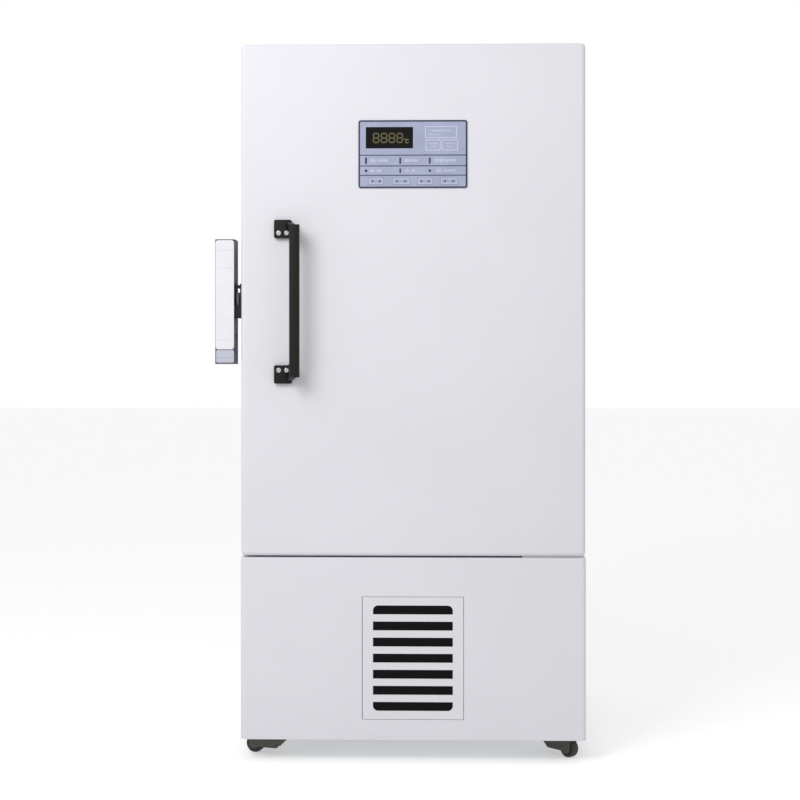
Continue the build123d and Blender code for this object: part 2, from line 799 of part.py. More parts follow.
# Panel overlay: the front plate with holes for the window and the keys
with BuildPart() as panel_overlay:
    plate(
        facing_front(cabinet_x, door_front, panel_middle),
        panel_width,
        panel_height,
        panel_thickness,
        panel_corner_radius,
    )
    fillet(panel_overlay.faces().sort_by(Axis.Y)[0].edges(), panel_thickness / 4)
    with BuildSketch(facing_front(window_x, door_front, window_z)):
        Rectangle(window_width, window_height)
    extrude(amount=panel_thickness, mode=Mode.SUBTRACT)
    for key_x, key_width in zip(key_places, key_widths):
        with BuildSketch(facing_front(key_x, door_front, key_z)):
            Rectangle(key_width + 2 * key_clearance, key_height + 2 * key_clearance)
        extrude(amount=panel_thickness, mode=Mode.SUBTRACT)
save(panel_overlay.part, "panel_overlay")

# Display module: the window with the digit block and its circuit board behind it
board_thickness = 1.6
with BuildPart() as display_module:
    with BuildSketch(facing_front(window_x, door_front + 2 * key_depth, window_z)):
        Rectangle(window_width - 2 * touch_gap, window_height - 2 * touch_gap)
    extrude(amount=panel_thickness + 2 * key_depth - touch_gap)
    board_front = door_front + 2 * key_depth
    board_bottom = key_z + key_height
    board_top = panel_middle + housing_height / 2 - 6 * housing_wall
    block(
        (cabinet_x - housing_width / 2 + 2 * housing_wall, cabinet_x + housing_width / 2 - 2 * housing_wall),
        (board_front, board_front + board_thickness),
        (board_bottom, board_top),
    )
save(display_module.part, "display_module")

# Keys: caps with a wider foot behind the panel
for index, (key_x, key_width) in enumerate(zip(key_places, key_widths)):
    with BuildPart() as key:
        plate(
            facing_front(key_x, door_front + 2 * key_clearance, key_z),
            key_width,
            key_height,
            panel_thickness + key_proud + 2 * key_clearance,
            key_proud,
        )
        with BuildSketch(facing_front(key_x, key_seat, key_z)):
            Rectangle(key_width + 6 * key_clearance, key_height - 2 * key_clearance)
        extrude(amount=key_depth - 2 * key_clearance)
    save(key.part, f"key_{index + 1}")

# Handle: a bar between two end brackets, each screwed to the door through its foot
collar_rim = handle_top - handle_bar_end_drop
bar_top = collar_rim - handle_collar_length
bar_bottom = handle_bottom + handle_bar_end_drop + handle_collar_length + 3
foot_front = door_front - handle_foot_thickness


def bar_profile(width, depth):
    """The rounded section of the handle's bar, centred on the origin of the sketch."""
    RectangleRounded(width, depth, depth / 2.2)


with BuildPart() as handle_bar:
    with BuildSketch(Plane(origin=(handle_bar_x, handle_bar_y, bar_bottom))):
        bar_profile(handle_bar_width, handle_bar_depth)
        spigot_hole = (handle_bar_width - 2 * handle_bar_wall, handle_bar_depth - 2 * handle_bar_wall)
        RectangleRounded(*spigot_hole, spigot_hole[1] / 2.2, mode=Mode.SUBTRACT)
    extrude(amount=bar_top - bar_bottom)
save(handle_bar.part, "handle_bar")

with BuildPart() as handle_brackets:
    for end_z, turn, bar_end in ((handle_top, 1, bar_top), (handle_bottom, -1, bar_bottom)):
        rim_z = end_z - turn * handle_bar_end_drop
        foot_z = end_z - turn * handle_foot_height / 2
        foot = facing_front(handle_foot_x, door_front, foot_z)
        plate(foot, handle_foot_width, handle_foot_height, handle_foot_thickness, 5)
        collar = Plane(origin=(handle_bar_x, handle_bar_y, bar_end), x_dir=(1, 0, 0), z_dir=(0, 0, turn))
        with BuildSketch(collar):
            bar_profile(handle_bar_width, handle_bar_depth)
        extrude(amount=abs(rim_z - bar_end))
        with BuildSketch(collar):
            fitted = [side - 2 * touch_gap for side in spigot_hole]
            RectangleRounded(*fitted, fitted[1] / 2.2)
        extrude(amount=-handle_spigot_length)
        arm_height = abs(rim_z - bar_end)
        arm_foot_height = handle_foot_height - 8
        foot_side = handle_foot_x + handle_foot_width / 2 - 9
        arm_start = Plane(origin=(foot_side, foot_front + 4, foot_z), x_dir=(1, 0, 0), z_dir=(0, -1, 0))
        with BuildSketch(arm_start):
            RectangleRounded(18, arm_foot_height, 4)
        arm_end = Plane(
            origin=(handle_bar_x, handle_bar_y + 4, (rim_z + bar_end) / 2), x_dir=(1, 0, 0), z_dir=(0, -1, 0)
        )
        with BuildSketch(arm_end):
            RectangleRounded(18, arm_height - 4, 4)
        loft()
    for screw_x, screw_z in screw_places:
        hole = facing_front(screw_x, door_front, screw_z)
        rod(hole, screw_shank_radius, handle_foot_thickness, Mode.SUBTRACT)
        seat = facing_front(screw_x, foot_front + 1, screw_z)
        rod(seat, screw_head_radius + touch_gap, handle_foot_thickness * 3, Mode.SUBTRACT)
save(handle_brackets.part, "handle_brackets")

with BuildPart() as handle_screws:
    for screw_x, screw_z in screw_places:
        seat = facing_front(screw_x, foot_front + 1, screw_z)
        rod(seat, screw_head_radius, screw_head_height)
        rod(seat, screw_shank_radius, -(handle_foot_thickness - 1 + screw_depth - touch_gap))
        rod(seat.offset(screw_head_height / 2), screw_shank_radius / 1.5, screw_head_height, Mode.SUBTRACT)
save(handle_screws.part, "handle_screws")

# Latch bracket on the left side of the door, with two ears and the pin that the lever turns on
latch_x = door_left - latch_pin_out
latch_y = door_front + latch_pin_inset
lever_left = door_left - latch_outer
lever_right = door_left - latch_inner
lever_front = door_front + latch_front_inset
lever_rear = lever_front + latch_depth
latch_middle = (latch_bracket_bottom + latch_bracket_top) / 2
upper_ear_floor = latch_bracket_top - latch_upper_ear_height - latch_bracket_sheet
lower_ear_top = latch_bracket_bottom + latch_lower_ear_height
with BuildPart() as latch_bracket:
    block(
        (door_left - latch_bracket_sheet, door_left),
        (lever_front + latch_bracket_sheet, lever_front + latch_bracket_sheet + latch_bracket_depth),
        (latch_bracket_bottom, latch_bracket_top),
    )
    ears = (
        (upper_ear_floor, upper_ear_floor + latch_upper_ear_height),
        (latch_bracket_bottom, lower_ear_top),
    )
    for ear_floor, ear_top in ears:
        with BuildSketch(Plane.XY.offset(ear_floor)):
            with Locations((latch_x, latch_y)):
                Circle(latch_ear_radius)
            with Locations(((latch_x + door_left) / 2, latch_y)):
                Rectangle(latch_pin_out, 2 * latch_ear_radius)
        extrude(amount=ear_top - ear_floor)
    pin_foot = latch_bracket_bottom - latch_pin_overlap
    rod(
        Plane(origin=(latch_x, latch_y, pin_foot)),
        latch_pin_radius,
        latch_bracket_top + latch_pin_overlap - pin_foot,
    )
save(latch_bracket.part, "latch_bracket")

# Latch lever: a hollow grip with a notch for the bracket and bosses round the pin
notch_bottom = latch_bracket_bottom - latch_ear_clearance
notch_top = latch_bracket_top + latch_ear_clearance
notch_radius = latch_ear_radius + latch_ear_clearance
pin_room = latch_pin_overlap + 2 * latch_ear_clearance
with BuildPart() as latch_lever:
    with BuildSketch(Plane.XY.offset(latch_bottom)):
        with Locations(((lever_left + lever_right) / 2, (lever_front + lever_rear) / 2)):
            RectangleRounded(lever_right - lever_left, lever_rear - lever_front, 8)
    extrude(amount=latch_top - latch_bottom)
    with BuildSketch(Plane.XY.offset(latch_bottom + 2 * latch_wall)):
        pocket_x = (lever_left + latch_wall, lever_right - latch_wall)
        pocket_y = (lever_front + latch_front_wall, lever_rear + 1)
        with Locations(((pocket_x[0] + pocket_x[1]) / 2, (pocket_y[0] + pocket_y[1]) / 2)):
            Rectangle(pocket_x[1] - pocket_x[0], pocket_y[1] - pocket_y[0])
    extrude(amount=latch_top - latch_bottom - 4 * latch_wall, mode=Mode.SUBTRACT)
    with BuildSketch(Plane.XY.offset(notch_bottom - pin_room - latch_wall)):
        with Locations((latch_x, latch_y)):
            Circle(latch_boss_radius)
    extrude(amount=notch_top - notch_bottom + 2 * (pin_room + latch_wall))
    with BuildSketch(Plane.XY.offset(notch_bottom)):
        with Locations((latch_x, latch_y)):
            Circle(notch_radius)
        notch_x = (latch_x - notch_radius, door_left)
        notch_y = (lever_front - 1, latch_y)
        with Locations((sum(notch_x) / 2, sum(notch_y) / 2)):
            Rectangle(notch_x[1] - notch_x[0], notch_y[1] - notch_y[0])
    extrude(amount=notch_top - notch_bottom, mode=Mode.SUBTRACT)
    rod(
        Plane(origin=(latch_x, latch_y, notch_bottom - pin_room)),
        latch_pin_radius + running_fit,
        notch_top - notch_bottom + 2 * pin_room,
        Mode.SUBTRACT,
    )
save(latch_lever.part, "latch_lever")

# Latch hook: a steel arm on the lever's inner side that reaches behind the striker
striker_front = cabinet_front + striker_setback
striker_rear = striker_front + striker_thickness
nose_front = striker_rear + hook_nose_gap
hook_bottom = latch_middle - hook_height / 2
hook_top = latch_middle + hook_height / 2
with BuildPart() as latch_hook:
    block(
        (lever_right, lever_right + hook_thickness),
        (door_front + hook_start, nose_front + hook_nose_thickness),
        (hook_bottom, hook_top),
    )
    block(
        (lever_right, cabinet_left - heavy_sheet - latch_ear_clearance),
        (nose_front, nose_front + hook_nose_thickness),
        (hook_bottom, hook_top),
    )
save(latch_hook.part, "latch_hook")

with BuildPart() as latch_striker:
    striker_floor = latch_middle - striker_height / 2
    block(
        (cabinet_left - heavy_sheet, cabinet_left),
        (cabinet_front + heavy_sheet, striker_rear + 3 * striker_thickness),
        (striker_floor - striker_thickness, striker_floor + striker_height + striker_thickness),
    )
    block(
        (door_left - striker_out, cabinet_left),
        (striker_front, striker_rear),
        (striker_floor, striker_floor + striker_height),
    )
save(latch_striker.part, "latch_striker")

# Base frame: a pan with four posts and a top frame that carries the cabinet
inner_half_width = cabinet_width / 2 - sheet
frame_left = cabinet_x - inner_half_width
frame_right = cabinet_x + inner_half_width
frame_front = cabinet_front + sheet
frame_rear = cabinet_rear - sheet
with BuildPart() as base_frame:
    block((frame_left, frame_right), (door_front + sheet, frame_rear), (pan_underside, pan_top))
    front_corners = base_frame.edges().filter_by(Axis.Z).group_by(Axis.Y)[0]
    fillet(front_corners, body_edge_radius - sheet)
    post_rows = ((frame_front, frame_front + post_size), (frame_rear - post_size, frame_rear))
    post_columns = ((frame_left, frame_left + post_size), (frame_right - post_size, frame_right))
    for post_y in post_rows:
        for post_x in post_columns:
            block(post_x, post_y, (pan_top, base_top))
        block((frame_left, frame_right), post_y, (base_top - post_size, base_top))
    for post_x in post_columns:
        block(post_x, (frame_front, frame_rear), (base_top - post_size, base_top))
save(base_frame.part, "base_frame")


def base_box(shrink):
    """The front of the base with its ledge, shrunk by a wall."""
    with BuildPart() as box:
        block(
            (cabinet_left + shrink, cabinet_right - shrink),
            (door_front + shrink, cabinet_front),
            (base_underside - shrink, base_top - shrink),
        )
        fillet(box.edges().filter_by(Axis.Z).group_by(Axis.Y)[0], body_edge_radius - shrink)
        rim = box.faces().sort_by(Axis.Z)[-1].edges().sort_by(Axis.Y)[:-1]
        fillet(rim, base_ledge_radius - shrink)
    return box.part


# Base front panel: folded sheet with a ledge under the door and a framed opening for the grille
opening_width = grille_width + 2 * grille_gap
opening_height = grille_height + 2 * grille_gap
grille_left = cabinet_x - grille_width / 2
grille_axis_x = grille_left + grille_pivot
grille_axis_y = door_front + grille_pivot
grille_half_height = grille_height / 2
with BuildPart() as base_front_panel:
    add(base_box(0))
    add(base_box(sheet), mode=Mode.SUBTRACT)
    for wall_x in ((cabinet_left - 1, frame_left), (frame_right, cabinet_right + 1)):
        return_end = (door_front + front_panel_return, cabinet_front + 1)
        block(wall_x, return_end, (base_underside - 1, base_top + 1), Mode.SUBTRACT)
    with BuildSketch(facing_front(cabinet_x, door_front + grille_return, grille_middle)):
        Rectangle(opening_width + 2 * sheet, opening_height + 2 * sheet)
    extrude(amount=grille_return)
    with BuildSketch(facing_front(cabinet_x, door_front + grille_return, grille_middle)):
        Rectangle(opening_width, opening_height)
    extrude(amount=grille_return, mode=Mode.SUBTRACT)
    pin_hole = Plane(origin=(grille_axis_x, grille_axis_y, grille_middle - grille_height))
    rod(pin_hole, grille_pin_radius + running_fit, 2 * grille_height, Mode.SUBTRACT)
save(base_front_panel.part, "base_front_panel")

for side_name, wall_x in (("left", (cabinet_left, frame_left)), ("right", (frame_right, cabinet_right))):
    with BuildPart() as base_side_panel:
        block(wall_x, (door_front + front_panel_return, frame_rear), (base_underside, base_top))
    save(base_side_panel.part, f"base_side_panel_{side_name}")

# Filter grille: a slotted tray on two pins at its left edge
pin_reach = grille_gap + sheet + 0.5
with BuildPart() as filter_grille:
    with BuildSketch(facing_front(cabinet_x, door_front + grille_return, grille_middle)):
        Rectangle(grille_width, grille_height)
    extrude(amount=grille_return)
    hinge_edge = filter_grille.edges().filter_by(Axis.Z).group_by(Axis.Y)[0].sort_by(Axis.X)[0]
    fillet(hinge_edge, grille_pivot)
    with BuildSketch(facing_front(cabinet_x, door_front + grille_return, grille_middle)):
        Rectangle(grille_width - 2 * sheet, grille_height - 2 * sheet)
    extrude(amount=grille_return - sheet, mode=Mode.SUBTRACT)
    with BuildSketch(facing_front(cabinet_x, door_front + sheet, grille_middle)):
        with GridLocations(1, slot_pitch, 1, slot_count):
            Rectangle(slot_width, slot_height)
        slot_field = (slot_width, (slot_count - 1) * slot_pitch + slot_height)
        RectangleRounded(*slot_field, slot_corner_radius, mode=Mode.INTERSECT)
    extrude(amount=sheet, mode=Mode.SUBTRACT)
    for turn in (-1, 1):
        pin_start = grille_middle + turn * (grille_half_height - 4 * sheet)
        pin_plane = Plane(origin=(grille_axis_x, grille_axis_y, pin_start), z_dir=(0, 0, turn))
        rod(pin_plane, grille_pin_radius, 4 * sheet + pin_reach)
save(filter_grille.part, "filter_grille")

with BuildPart() as air_filter:
    with BuildSketch(facing_front(cabinet_x, door_front + sheet + filter_thickness, grille_middle)):
        Rectangle(grille_width - 4 * grille_pivot, grille_height - 2 * sheet - 2 * touch_gap)
    extrude(amount=filter_thickness)
save(air_filter.part, "air_filter")

# Rear cover of the base, with louvre slots and the opening of the mains inlet
inlet_x = cabinet_x + inlet_offset
louvre_rows = 8
louvre_columns = 4
with BuildPart() as base_rear_grille:
    block((cabinet_left, cabinet_right), (frame_rear, cabinet_rear), (base_underside, base_top))
    with BuildSketch(facing_front(cabinet_x, cabinet_rear, (base_underside + base_top) / 2)):
        with Locations((insulation / 2, 0)):
            with GridLocations(150, 40, louvre_columns, louvre_rows):
                SlotOverall(110, 10)
    extrude(amount=sheet, mode=Mode.SUBTRACT)
    with BuildSketch(facing_front(inlet_x, cabinet_rear, inlet_height)):
        Rectangle(*inlet_body)
    extrude(amount=sheet, mode=Mode.SUBTRACT)
save(base_rear_grille.part, "base_rear_grille")

# Mains inlet: socket and switch frame in one moulded body, with a flange outside
flange_rear = cabinet_rear + inlet_flange_thickness
rocker_z = inlet_height + switch_rise
socket_z = inlet_height - switch_rise
rocker_y = flange_rear - rocker_depth / 2
with BuildPart() as mains_inlet:
    with BuildSketch(facing_front(inlet_x, cabinet_rear, inlet_height)):
        Rectangle(*inlet_body)
    extrude(amount=inlet_depth)
    with BuildSketch(facing_front(inlet_x, flange_rear, inlet_height)):
        RectangleRounded(
            inlet_body[0] + 2 * inlet_flange_margin, inlet_body[1] + 2 * inlet_flange_margin, 4
        )
    extrude(amount=inlet_flange_thickness)
    with BuildSketch(facing_front(inlet_x, flange_rear, socket_z)):
        RectangleRounded(*inlet_socket, 3)
    extrude(amount=inlet_depth * 0.7, mode=Mode.SUBTRACT)
    pin_floor = facing_front(inlet_x, flange_rear - inlet_depth * 0.7, socket_z)
    with BuildSketch(pin_floor):
        with Locations((-7, -2), (0, 2), (7, -2)):
            Rectangle(2, 5)
    extrude(amount=-inlet_depth / 2)
    with BuildSketch(facing_front(inlet_x, flange_rear, rocker_z)):
        Rectangle(rocker_size[0] + 2, rocker_size[1] + 2)
    extrude(amount=inlet_depth * 0.7, mode=Mode.SUBTRACT)
    pin_start = Plane(origin=(inlet_x - rocker_size[0], rocker_y, rocker_z), z_dir=(1, 0, 0))
    rod(pin_start, rocker_pin_radius + running_fit, 2 * rocker_size[0], Mode.SUBTRACT)
save(mains_inlet.part, "mains_inlet")

with BuildPart() as mains_switch_rocker:
    block(
        (inlet_x - rocker_size[0] / 2, inlet_x + rocker_size[0] / 2),
        (rocker_y - rocker_depth / 2, rocker_y + rocker_depth / 2),
        (rocker_z - rocker_size[1] / 2, rocker_z + rocker_size[1] / 2),
    )
    pin_start = Plane(origin=(inlet_x - rocker_size[0] / 2 - 3, rocker_y, rocker_z), z_dir=(1, 0, 0))
    rod(pin_start, rocker_pin_radius, rocker_size[0] + 6)
save(mains_switch_rocker.part, "mains_switch_rocker")

# Condenser: two serpentine pipes through a stack of fins between end plates that stand on the pan
condenser_front = door_front + condenser_setback
condenser_rear = condenser_front + condenser_depth
condenser_left = cabinet_x - condenser_width / 2
condenser_right = cabinet_x + condenser_width / 2
condenser_bottom = grille_middle - condenser_height / 2
condenser_top = grille_middle + condenser_height / 2
tube_pitch = condenser_height / condenser_passes
tube_rows = (condenser_front + condenser_depth / 4, condenser_rear - condenser_depth / 4)
tube_left = condenser_left - tube_pitch / 2 - pipe_stub
tube_right = condenser_right + tube_pitch / 2 + pipe_stub
tube_levels = [condenser_top - (index + 0.5) * tube_pitch for index in range(condenser_passes)]


def serpentine(row_y):
    """The corners of one serpentine pipe, from the top pass to the lowest one."""
    points = []
    for index, level in enumerate(tube_levels):
        ends = [(tube_left, row_y, level), (tube_right, row_y, level)]
        points += ends if index % 2 == 0 else ends[::-1]
    return points


with BuildPart() as condenser:
    fin_pitch = (condenser_width - heavy_sheet) / (fin_count + 1)
    for index in range(fin_count + 2):
        is_end = index in (0, fin_count + 1)
        fin_x = condenser_left + heavy_sheet / 2 + index * fin_pitch
        thickness = heavy_sheet if is_end else fin_thickness
        block(
            (fin_x - thickness / 2, fin_x + thickness / 2),
            (condenser_front, condenser_rear),
            (pan_top if is_end else condenser_bottom, condenser_top),
        )
    for row_y in tube_rows:
        pipe(serpentine(row_y), tube_pitch / 2 - 1, condenser_tube_radius)
    link_x, _, link_z = serpentine(tube_rows[0])[-1]
    front_row, rear_row = tube_rows
    link_bend = (rear_row - front_row) / 2 - 1
    link_side = 1 if link_x > cabinet_x else -1
    link_end = link_x + link_side * 2 * pipe_stub
    pipe(
        [(link_x, front_row, link_z), (link_end, front_row, link_z), (link_end, rear_row, link_z),
         (link_x, rear_row, link_z)],
        link_bend,
        condenser_tube_radius,
    )
save(condenser.part, "condenser")

# Fan shroud behind the condenser, with the collar and the posts that carry the motor
shroud_rear = condenser_rear + shroud_depth
collar_radius = fan_radius + fan_tip_gap
post_reach = (collar_radius + 4 * heavy_sheet) / sqrt(2)
motor_front = shroud_rear + fan_collar_depth + motor_gap
with BuildPart() as fan_shroud:
    block((condenser_left, condenser_right), (condenser_rear, shroud_rear), (pan_top, condenser_top))
    block(
        (condenser_left + sheet, condenser_right - sheet),
        (condenser_rear - 1, shroud_rear - sheet),
        (pan_top + sheet, condenser_top - sheet),
        Mode.SUBTRACT,
    )
    with BuildSketch(facing_front(cabinet_x, shroud_rear, grille_middle)):
        Circle(collar_radius + sheet)
    extrude(amount=-fan_collar_depth)
    with BuildSketch(facing_front(cabinet_x, shroud_rear - sheet, grille_middle)):
        Circle(collar_radius)
    extrude(amount=-(fan_collar_depth + sheet), mode=Mode.SUBTRACT)
    for post_side in (-1, 1):
        for post_rise in (-1, 1):
            post = facing_front(
                cabinet_x + post_side * post_reach, shroud_rear, grille_middle + post_rise * post_reach
            )
            rod(post, 2 * heavy_sheet, -(motor_front - shroud_rear))
save(fan_shroud.part, "fan_shroud")

# Fan motor with its cross of flat arms and its shaft
hub_front = shroud_rear + sheet
with BuildPart() as fan_motor:
    motor_face = facing_front(cabinet_x, motor_front, grille_middle)
    rod(motor_face, motor_radius, -motor_length)
    fillet(fan_motor.faces().sort_by(Axis.Y)[-1].edges(), 2 * heavy_sheet)
    with BuildSketch(motor_face):
        for turn in (45, -45):
            SlotOverall(2 * post_reach * sqrt(2) + 5 * heavy_sheet, 5 * heavy_sheet, rotation=turn)
    extrude(amount=-heavy_sheet)
    rod(motor_face, fan_shaft_radius, motor_front - hub_front)
save(fan_motor.part, "fan_motor")

# Fan blade: a hub with pitched blades, running on the motor's shaft
hub_middle = hub_front + fan_hub_length / 2
blade_root = fan_hub_radius - 3
with BuildPart() as fan_blade:
    rod(facing_front(cabinet_x, hub_front + fan_hub_length, grille_middle), fan_hub_radius, fan_hub_length)
    pitch = radians(fan_blade_pitch)
    for index in range(fan_blade_count):
        turn = radians(360 * index / fan_blade_count)
        radial = (cos(turn), 0, sin(turn))
        blade_plane = Plane(
            origin=(cabinet_x, hub_middle, grille_middle),
            x_dir=radial,
            z_dir=(-sin(turn) * sin(pitch), -cos(pitch), cos(turn) * sin(pitch)),
        )
        with BuildSketch(blade_plane):
            with BuildLine():
                root_half = fan_hub_radius / 3
                tip_half = fan_hub_radius * 0.8
                tip_x = fan_radius - tip_half / 2
                Line((blade_root, -root_half), (tip_x, -tip_half))
                ThreePointArc((tip_x, -tip_half), (fan_radius - 1, 0), (tip_x, tip_half))
                Polyline((tip_x, tip_half), (blade_root, root_half), (blade_root, -root_half))
            make_face()
        extrude(amount=1, both=True)
    hub_bore = facing_front(cabinet_x, hub_front + fan_hub_length + 1, grille_middle)
    rod(hub_bore, fan_shaft_radius + running_fit, fan_hub_length + 2, Mode.SUBTRACT)
save(fan_blade.part, "fan_blade")

# Compressors: welded pots on rubber mounts, with two pipe stubs each
compressor_y = door_front + compressor_setback
compressor_floor = pan_top + mount_height
compressor_top = compressor_floor + compressor_height
stub_top = compressor_top + pipe_stub
compressor_places = {
    "compressor_high_stage": cabinet_x - compressor_side,
    "compressor_low_stage": cabinet_x + compressor_side,
}
dome = compressor_radius * 0.45
for compressor_name, compressor_x in compressor_places.items():
    with BuildPart() as compressor:
        axis_plane = Plane(
            origin=(compressor_x, compressor_y, compressor_floor), x_dir=(1, 0, 0), z_dir=(0, -1, 0)
        )
        with BuildSketch(axis_plane):
            with BuildLine():
                Polyline((0, heavy_sheet), (0, 0), (compressor_radius - dome / 2, 0))
                Line((compressor_radius - dome / 2, 0), (compressor_radius, dome / 2))
                Line((compressor_radius, dome / 2), (compressor_radius, compressor_height - dome))
                JernArc((compressor_radius, compressor_height - dome), (0, 1), dome, 90)
                Polyline(
                    (compressor_radius - dome, compressor_height), (0, compressor_height), (0, heavy_sheet)
                )
            make_face()
        revolve(axis=Axis((compressor_x, compressor_y, 0), (0, 0, 1)))
        foot_span = 2 * compressor_radius - 3 * heavy_sheet
        plate(
            Plane(origin=(compressor_x, compressor_y, compressor_floor)),
            foot_span,
            foot_span,
            heavy_sheet,
            mount_height,
        )
        with BuildSketch(Plane(origin=(compressor_x, compressor_y, pan_top))):
            with GridLocations(foot_span - 2 * mount_height, foot_span - 2 * mount_height, 2, 2):
                Circle(mount_height * 0.7)
        extrude(amount=mount_height)
        for stub_side in (-1, 1):
            stub_start = Plane(
                origin=(compressor_x, compressor_y + stub_side * pipe_spread, compressor_top - heavy_sheet)
            )
            rod(stub_start, 1.4 * pipe_radius, heavy_sheet + pipe_stub)
    save(compressor.part, compressor_name)

# Cascade heat exchanger: an insulated canister with four pipe stubs on its top
exchanger_y = door_front + exchanger_setback
exchanger_width, exchanger_length, exchanger_height = exchanger_size
exchanger_top = pan_top + exchanger_height
exchanger_stub_top = exchanger_top + pipe_stub
with BuildPart() as cascade_heat_exchanger:
    exchanger_foot = Plane(origin=(cabinet_x, exchanger_y, pan_top))
    plate(exchanger_foot, exchanger_width, exchanger_length, exchanger_height, exchanger_length / 5)
    fillet(cascade_heat_exchanger.faces().sort_by(Axis.Z)[-1].edges(), 4 * heavy_sheet)
    with BuildSketch(Plane(origin=(cabinet_x, exchanger_y, exchanger_top))):
        with GridLocations(2 * pipe_spread, pipe_spread, 2, 2):
            Circle(1.4 * pipe_radius)
    extrude(amount=pipe_stub)
save(cascade_heat_exchanger.part, "cascade_heat_exchanger")

# Control box with its lid's rim
box_width, box_length, box_height = control_box_size
box_left = frame_left + 3 * heavy_sheet
box_front = frame_front + post_size + 3 * heavy_sheet
with BuildPart() as control_box:
    box_walls = ((box_left, box_left + box_width), (box_front, box_front + box_length))
    block(*box_walls, (pan_top, pan_top + box_height))
    fillet(control_box.edges().filter_by(Axis.Z), 2 * heavy_sheet)
    box_middle = (box_left + box_width, box_front + box_length / 2, pan_top + box_height / 2)
    with BuildSketch(Plane(origin=box_middle, x_dir=(0, 1, 0), z_dir=(1, 0, 0))):
        Rectangle(box_length - 8 * heavy_sheet, box_height - 8 * heavy_sheet)
    extrude(amount=sheet)
save(control_box.part, "control_box")

# Refrigerant lines between the stubs, each at its own level under the cabinet's floor
high_x = compressor_places["compressor_high_stage"]
low_x = compressor_places["compressor_low_stage"]
front_stub = compressor_y - pipe_spread
rear_stub = compressor_y + pipe_spread
level_low = stub_top + 3 * pipe_level_step
level_two = level_low + pipe_level_step
level_three = level_two + pipe_level_step
level_four = level_three + pipe_level_step
exchanger_left = cabinet_x - pipe_spread
exchanger_right = cabinet_x + pipe_spread
exchanger_near = exchanger_y - pipe_spread / 2
exchanger_far = exchanger_y + pipe_spread / 2
behind_exchanger = exchanger_y + exchanger_length / 2 + pipe_spread
condenser_in_x, condenser_in_y, condenser_in_z = serpentine(front_row)[0]
condenser_out_x, condenser_out_y, condenser_out_z = serpentine(rear_row)[0]
coil_in_x, coil_in_y, coil_in_z = coil_corners[0]
coil_out_x, coil_out_y, coil_out_z = coil_corners[-1]
between_x = (high_x + condenser_out_x) / 2 + pipe_radius
line_routes = (
    [
        (high_x, front_stub, stub_top),
        (high_x, front_stub, level_three),
        (high_x, condenser_in_y, level_three),
        (high_x, condenser_in_y, condenser_in_z),
        (condenser_in_x, condenser_in_y, condenser_in_z),
    ],
    [
        (condenser_out_x, condenser_out_y, condenser_out_z),
        (between_x - pipe_spread, condenser_out_y, condenser_out_z),
        (between_x - pipe_spread, condenser_out_y, level_two),
        (between_x - pipe_spread, exchanger_near, level_two),
        (exchanger_left, exchanger_near, level_two),
        (exchanger_left, exchanger_near, exchanger_stub_top),
    ],
    [
        (exchanger_left, exchanger_far, exchanger_stub_top),
        (exchanger_left, exchanger_far, level_low),
        (high_x, exchanger_far, level_low),
        (high_x, rear_stub, level_low),
        (high_x, rear_stub, stub_top),
    ],
    [
        (low_x, rear_stub, stub_top),
        (low_x, rear_stub, level_low),
        (low_x, exchanger_far, level_low),
        (exchanger_right, exchanger_far, level_low),
        (exchanger_right, exchanger_far, exchanger_stub_top),
    ],
    [
        (exchanger_right, exchanger_near, exchanger_stub_top),
        (exchanger_right, exchanger_near, level_four),
        (coil_in_x, exchanger_near, level_four),
        (coil_in_x, coil_in_y, level_four),
        (coil_in_x, coil_in_y, coil_in_z),
    ],
    [
        (coil_out_x, coil_out_y, coil_out_z),
        (coil_out_x, coil_out_y, level_two),
        (coil_out_x, behind_exchanger, level_two),
        (low_x, behind_exchanger, level_two),
        (low_x, front_stub, level_two),
        (low_x, front_stub, stub_top),
    ],
)
with BuildPart() as refrigerant_lines:
    for route in line_routes:
        pipe(route, pipe_bend, pipe_radius)
save(refrigerant_lines.part, "refrigerant_lines")

# Wall spacers on the back of the cabinet
spacer_size = (60.0, 90.0)
with BuildPart() as wall_spacers:
    for spacer_side in (-1, 1):
        for spacer_z in (cabinet_top - insulation, chamber_floor):
            spacer_x = cabinet_x + spacer_side * (cabinet_width / 2 - insulation)
            with BuildSketch(facing_front(spacer_x, cabinet_rear + wall_spacer_depth, spacer_z)):
                RectangleRounded(*spacer_size, 8)
            extrude(amount=wall_spacer_depth)
save(wall_spacers.part, "wall_spacers")

# Casters: top plates with kingpins, swivelling forks and wheels
caster_front_y = door_front + caster_front_setback
caster_rear_y = cabinet_rear - caster_rear_setback
caster_places = {
    "front_left": (cabinet_x - caster_side, caster_front_y, 165.0),
    "front_right": (cabinet_x + caster_side, caster_front_y, -46.0),
    "rear_left": (cabinet_x - caster_side, caster_rear_y, 150.0),
    "rear_right": (cabinet_x + caster_side, caster_rear_y, 20.0),
}
plate_floor = pan_underside - caster_plate
crown_floor = fork_top - fork_crown
kingpin_head = 2.0
with BuildPart() as caster_plates:
    for caster_x, caster_y, _ in caster_places.values():
        plate(
            Plane(origin=(caster_x, caster_y, plate_floor)),
            caster_plate_width,
            caster_plate_length,
            caster_plate,
            6,
        )
        kingpin_end = crown_floor - touch_gap
        rod(Plane(origin=(caster_x, caster_y, kingpin_end)), kingpin_radius, plate_floor - kingpin_end)
        head_floor = kingpin_end - kingpin_head
        rod(Plane(origin=(caster_x, caster_y, head_floor)), 1.5 * kingpin_radius, kingpin_head)
save(caster_plates.part, "caster_plates")


